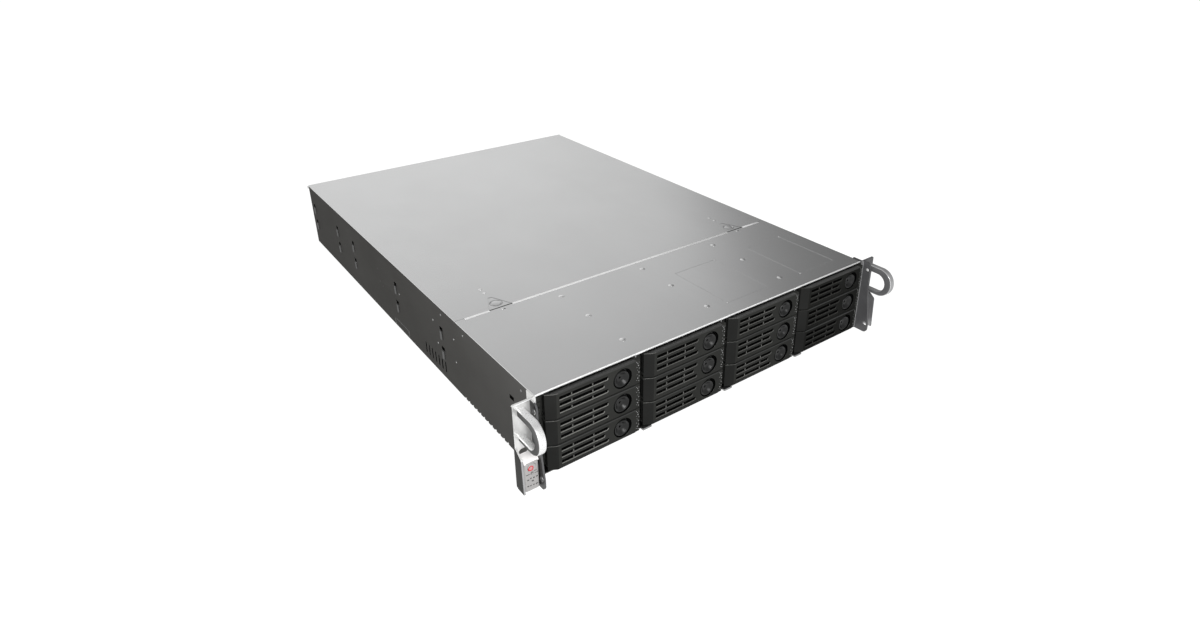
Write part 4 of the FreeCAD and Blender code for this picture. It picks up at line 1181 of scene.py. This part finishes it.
def dress_ears():
    """Both ears, painted with the shading that the photograph shows on them, and the bead of the flange
    painted near-white as a highlight.
    """
    ear = softened("left_ear", EAR_ROUND, "ear")
    # Painted shade on the outer face of the left ear
    paint_part(ear, "ear_side", lambda x, y, z, look: x < -EAR_OUTER and abs(look.x) > FACING)
    # Painted shade on the faces of the left fin
    paint_part(ear, "tab_steel", on_fin)
    paint_part(ear, "ear_shade", lambda x, y, z, look: x > -FIN_OUTER and look.y < -LEANING
               and y < FIN_SHADE_FRONT)
    # Painted shade on the lower front edge of the left ear's wall
    paint_part(ear, "handle_dark", lambda x, y, z, look: x < -WALL_INNER and look.y < -LEANING
               and z < WALL_SHADE_TOP)
    ear = softened("right_ear", EAR_ROUND, "ear_shade")
    paint_part(ear, "fin_shade", on_fin)
    paint_part(ear, "handle_dark", lambda x, y, z, look: x < FIN_INNER and look.y < -FACING
               or x > WALL_INNER and look.x < -FACING)
    top = corners("left_ear")[1][2] - EAR_BEAD_DROP
    bead = [(x, FLANGE_BEAD_FRONT, top) for x in FLANGE_BEAD_ENDS]
    # A near-white bead on the flange's top edge: painted highlight
    traced("flange_bead", [bead], EAR_BEAD, "edge", "chassis")
    dress_handles(top)
    dress_panel()


def dress_handles(ear_top):
    """Loop handles, the right one and the side faces of both painted as shade, with a bead along the rim of
    the right one painted as a highlight, and the root and stud of the fin beside it painted light as
    highlights.
    """
    handles = add_piece("loop_handles", handles_mesh(), "handle", "chassis")
    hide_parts("handles")
    # Painted shade: the right handle, and the side faces of both handles darker still
    paint_part(handles, "handle_dark", lambda x, y, z, look: x > 0)
    paint_part(handles, "handle_side", lambda x, y, z, look: x < 0 and abs(look.x) > FACING)
    paint_part(handles, "handle_shaded_side", lambda x, y, z, look: x > 0 and abs(look.x) > FACING)
    # A lighter bead up the root of the right fin: painted highlight
    root = [(*FIN_ROOT, FIN_FOOT), (*FIN_ROOT, ear_top)]
    traced("fin_root", [root], EAR_BEAD, "handle_dark", "chassis")
    (_, front, bottom), (right, _, top) = corners("handles")
    # A bright bead along the right handle's rim: painted highlight
    near = right - HANDLE_WIDTH + RIM_INSET
    path = loop_path(front + RIM_INSET, bottom + RIM_INSET, top - RIM_INSET, HANDLE_BEND)
    traced("handle_rim", [[(near, y, z) for y, z in path]], RIM_BEAD, "handle", "chassis")
    # A stud painted near-white as a highlight
    stud = (*FIN_STUD_PLACE, top - FIN_STUD_DROP)
    repeated("fin_stud", dome(FIN_STUD, (-1, 0, 0)), [stud], "edge", "chassis")


def dress_panel():
    """The control panel and its cap, the red ring of the power button, and plain marks and a pin hole painted
    black as shade.
    """
    panel = softened("control_panel", PANEL_ROUND, "panel", segments=FINE_SEGMENTS)
    paint_part(panel, "cap", lambda x, y, z, look: look.z > LEANING)
    (left, front, _), (right, back, top) = corners("control_panel")
    outline = [(back, top - CAP_FOOT), (back, top + CAP_RISE)]
    outline += [(front + CAP_REACH - CAP_REACH * out, top - CAP_BASE + CAP_CROWN * up)
                for up, out in arc(0.0, CAP_STEPS)]
    add_piece("panel_cap", ridge_mesh(outline, left + CAP_INSET, right - CAP_INSET), "cap", "chassis")
    softened("power_button", EAR_ROUND, "panel", "power_button")
    (left, face, bottom), (right, _, top) = corners("power_button")
    middle = (left + right) / 2
    centre = mm(middle + RING_SHIFT[0], face, (bottom + top) / 2 + RING_SHIFT[1])
    ring = turned(RING_PROFILE, BACKWARD, centre, RING_SIDES, True)
    spot = turned(SPOT_PROFILE, BACKWARD, centre, RING_SIDES)
    add_piece("power_ring", ring, "red_ink", "power_button")
    add_piece("power_spot", spot, "pink_ink", "power_button")
    marks = [plaque(middle + across, height, width / 2, tall / 2, front - MARK_PROUD, front + MARK_BITE)
             for across, height, width, tall in PANEL_MARKS]
    blocks("panel_marks", marks, "grey_ink", "chassis", MARK_ROUND)
    # The pin hole is painted black as shade
    hole = turned(PIN_PROFILE, BACKWARD, mm(middle, front, PIN_HEIGHT), HEAD_SIDES)
    add_piece("pin_hole", hole, "gap", "chassis")


def frame_bars(low, high, rim, first, last):
    """Four bars round an opening in the rear, given by its low and high corners in x and z."""
    left, bottom = low
    right, top = high
    return [((left - rim, first, bottom - rim), (right + rim, last, bottom)),
            ((left - rim, first, top), (right + rim, last, top + rim)),
            ((left - rim, first, bottom), (left, last, top)),
            ((right, first, bottom), (right + rim, last, top))]


def lining(low, high, back, mouth):
    """Thin walls inside an opening, and its back."""
    left, bottom = low
    right, top = high
    walls = frame_bars((left + LINING, bottom + LINING), (right - LINING, top - LINING), LINING, back, mouth)
    return walls + [((left, back, bottom), (right, back + LINING, top))]


def staggered(low, high):
    """Places of holes in offset rows between two corners in x and z, on the rear face."""
    places = []
    for row in range(int((high[1] - low[1]) / HOLE_ROW) + 1):
        start = low[0] + (HOLE_PITCH / 2 if row % 2 else 0.0)
        count = int((high[0] - start) / HOLE_PITCH + HOLE_SLACK) + 1
        places += [(start + HOLE_PITCH * index, REAR_FACE, low[1] + HOLE_ROW * row) for index in range(count)]
    return places


def dress_module(index):
    """A power module: ventilation holes drawn as black discs of painted shade, a lined inlet with three pins
    and a rim round it.
    """
    body = "power_supply_%d" % index
    latch = "power_latch_%d" % index
    softened(body, MODULE_ROUND, "module", body)
    softened(latch, MODULE_ROUND, "tab", latch, FINE_SEGMENTS)
    left, _, floor = corners(body)[0]
    holes = []
    for low, high in MODULE_HOLES:
        holes += staggered((left + low[0], floor + low[1]), (left + high[0], floor + high[1]))
    # Ventilation holes as black discs: painted shade
    repeated("module_holes_%d" % index, dome(VENT_HOLE, BACKWARD), holes, "gap", body)
    low = (left + INLET_CORNER[0], floor + INLET_CORNER[1])
    high = (low[0] + INLET_SIZE[0], low[1] + INLET_SIZE[1])
    rim = frame_bars((low[0] + INLET_RIM + INLET_RIM_GAP, low[1]), high, INLET_RIM, REAR_FACE - SINK,
                     REAR_FACE + INLET_PROUD)
    walls = lining(low, high, REAR_FACE - INLET_SIZE[2], REAR_FACE)
    blocks("inlet_shell_%d" % index, rim + walls, "bezel", body, SHELL_ROUND)
    middle = (low[0] + high[0]) / 2
    height = (low[1] + high[1]) / 2
    pins = [plaque(middle + across, height + up, *INLET_PIN) for across, up in INLET_PINS]
    blocks("inlet_pins_%d" % index, pins, "pin", body, INLET_PIN_ROUND)


def dress_ports():
    """A bright shell, a black tongue and its contacts in each data port."""
    shells = []
    tongues = []
    contacts = []
    for middle in PORT_MIDDLES:
        low = (middle - PORT_SIZE[0] / 2, PORT_FLOOR)
        high = (middle + PORT_SIZE[0] / 2, PORT_FLOOR + PORT_SIZE[1])
        height = (low[1] + high[1]) / 2
        shells += frame_bars(low, high, PORT_RIM, REAR_FACE - SINK, REAR_FACE + PORT_PROUD)
        shells += lining(low, high, REAR_FACE - PORT_SIZE[2], REAR_FACE + PORT_PROUD)
        tongues.append(plaque(middle, height, *TONGUE))
        contacts += [moved(CONTACT, middle + CONTACT_PITCH * step, 0.0, height) for step in range(CONTACTS)]
    blocks("port_shells", shells, "fastener", "chassis", SHELL_ROUND)
    blocks("port_tongues", tongues, "bezel", "chassis", TONGUE_ROUND)
    blocks("port_contacts", contacts, "pin", "chassis", CONTACT_ROUND)


def dress_rear():
    """The rear panel, with its heads, a bare plate, the data ports and the power modules."""
    softened("rear_panel", SHEET_ROUND, "inner")
    for name, head, places, finish in (
            ("rear_screws", turned(SCREW_PROFILE, BACKWARD, steps=HEAD_SIDES), REAR_SCREWS, "fastener"),
            ("rear_dimples", dome(REAR_DIMPLE, BACKWARD), REAR_DIMPLES, "inner")):
        repeated(name, head, [(across, REAR_FACE, up) for across, up in places], finish, "chassis")
    beaded("rear_plate_outline", REAR_PLATE, REAR_PLATE_PLACE, "dull", "chassis", (QUARTER, 0.0, 0.0))
    dress_ports()
    for index in (1, 2):
        dress_module(index)


def dress_inside():
    """Finishes on the solids inside, which keep their own shape."""
    for node, finish in INSIDE_FINISHES.items():
        nodes[node].data.materials.clear()
        nodes[node].data.materials.append(FINISHES[finish])


def set_camera():
    """The photograph's camera."""
    data = bpy.data.cameras.new("photo_camera")
    data.sensor_width = CAMERA_SENSOR
    data.lens = CAMERA_LENS
    data.shift_x, data.shift_y = CAMERA_SHIFT
    data.clip_start = CAMERA_NEAR
    camera = new_object("photo_camera", data)
    azimuth = math.radians(CAMERA_AZIMUTH)
    elevation = math.radians(CAMERA_ELEVATION)
    back = Vector((math.sin(azimuth) * math.cos(elevation), -math.cos(azimuth) * math.cos(elevation),
                   math.sin(elevation)))
    right = Vector(UP).cross(back).normalized()
    turn = Matrix((right, back.cross(right), back)).transposed().to_4x4()
    roll = Matrix.Rotation(math.radians(CAMERA_ROLL), 4, "Z")
    camera.matrix_world = Matrix.Translation(CAMERA_PLACE) @ turn @ roll
    bpy.context.scene.camera = camera


def brightness_ramp(sky, value, stops):
    """Brightness along one component of direction, from -1 to 1, as (component, brightness) stops."""
    share = sky.made("ShaderNodeMapRange", {"Value": value, "From Min": -1.0})
    node = sky.add("ShaderNodeValToRGB", {"Fac": share})
    ramp = node.color_ramp
    ramp.interpolation = "LINEAR"
    while len(ramp.elements) < len(stops):
        ramp.elements.new(0.5)
    for element, (component, bright) in zip(ramp.elements, stops):
        element.position = (component + 1) / 2
        element.color = (*even(bright), 1.0)
    return node.outputs["Color"]


def set_world():
    """A studio that is bright behind the object, dimmer in front of it and dark far behind to the right."""
    world = bpy.data.worlds.new("studio")
    world.use_nodes = True
    sky = Tree(world.node_tree)
    direction = sky.add("ShaderNodeTexCoord").outputs["Generated"]
    parts = sky.add("ShaderNodeSeparateXYZ", {"Vector": direction}).outputs
    behind = sky.made("ShaderNodeMapRange", {"Value": parts["Y"], "From Min": WORLD_SIDE[0],
                                             "From Max": WORLD_SIDE[1]})
    levels = {axis: brightness_ramp(sky, parts[axis], stops) for axis, stops in WORLD_STOPS.items()}
    level = sky.mix("MULTIPLY", behind, levels["Y"], levels["X"])
    level = sky.mix("MULTIPLY", 1.0, level, levels["Z"])
    sky.feed(sky.tree.nodes["Background"], {"Color": level, "Strength": WORLD_STRENGTH})
    bpy.context.scene.world = world


def set_floor():
    """A wide white floor that keeps the object's shadow."""
    mesh = bpy.data.meshes.new("floor")
    mesh.from_pydata([(across * FLOOR_HALF, along * FLOOR_HALF, FLOOR_LEVEL)
                      for across, along in ((-1, -1), (1, -1), (1, 1), (-1, 1))], [], [(0, 1, 2, 3)])
    floor = new_object("floor", mesh)
    finish = Finish("white_floor", Base_Color=(*even(FLOOR_SHADE), 1.0), Roughness=0.9,
                    Specular_IOR_Level=0.1, Emission_Color=(1.0, 1.0, 1.0, 1.0))
    rays = finish.add("ShaderNodeLightPath").outputs
    seen = rays["Is Camera Ray"]
    for ray in ("Is Glossy Ray", "Is Transmission Ray"):
        seen = finish.math("MAXIMUM", seen, rays[ray])
    finish.feed(finish.shader, {"Emission Strength": finish.math("MULTIPLY", seen, FLOOR_LIFT)})
    mesh.materials.append(finish.material)


def add_lamp(name, place, target, size, power):
    """A round soft lamp turned to a target."""
    data = bpy.data.lights.new(name, "AREA")
    data.shape = "DISK"
    data.size = size
    data.energy = power
    lamp = new_object(name, data)
    direction = Vector(target) - Vector(place)
    lamp.matrix_world = Matrix.Translation(place) @ direction.to_track_quat("-Z", "Y").to_matrix().to_4x4()
    return lamp


def keep_off(lamp, names):
    """Keeps a lamp off some pieces, as a card in front of it would."""
    shaded = bpy.data.collections.new(lamp.name + "_kept_off")
    for piece in bpy.context.scene.objects:
        if piece.name.startswith(names):
            shaded.objects.link(piece)
    lamp.light_linking.receiver_collection = shaded
    for entry in shaded.collection_objects:
        entry.light_linking.link_state = "EXCLUDE"


def set_stage():
    bpy.context.scene.view_settings.view_transform = "Standard"
    set_world()
    set_floor()
    key = add_lamp("key_softbox", KEY_PLACE, KEY_TARGET, KEY_SIZE, KEY_POWER)
    keep_off(key, UNLIT_PIECES)


dress_covers()
dress_sides()
dress_ears()
dress_levers()
dress_buttons()
dress_trays()
dress_rear()
dress_inside()
set_camera()
set_stage()
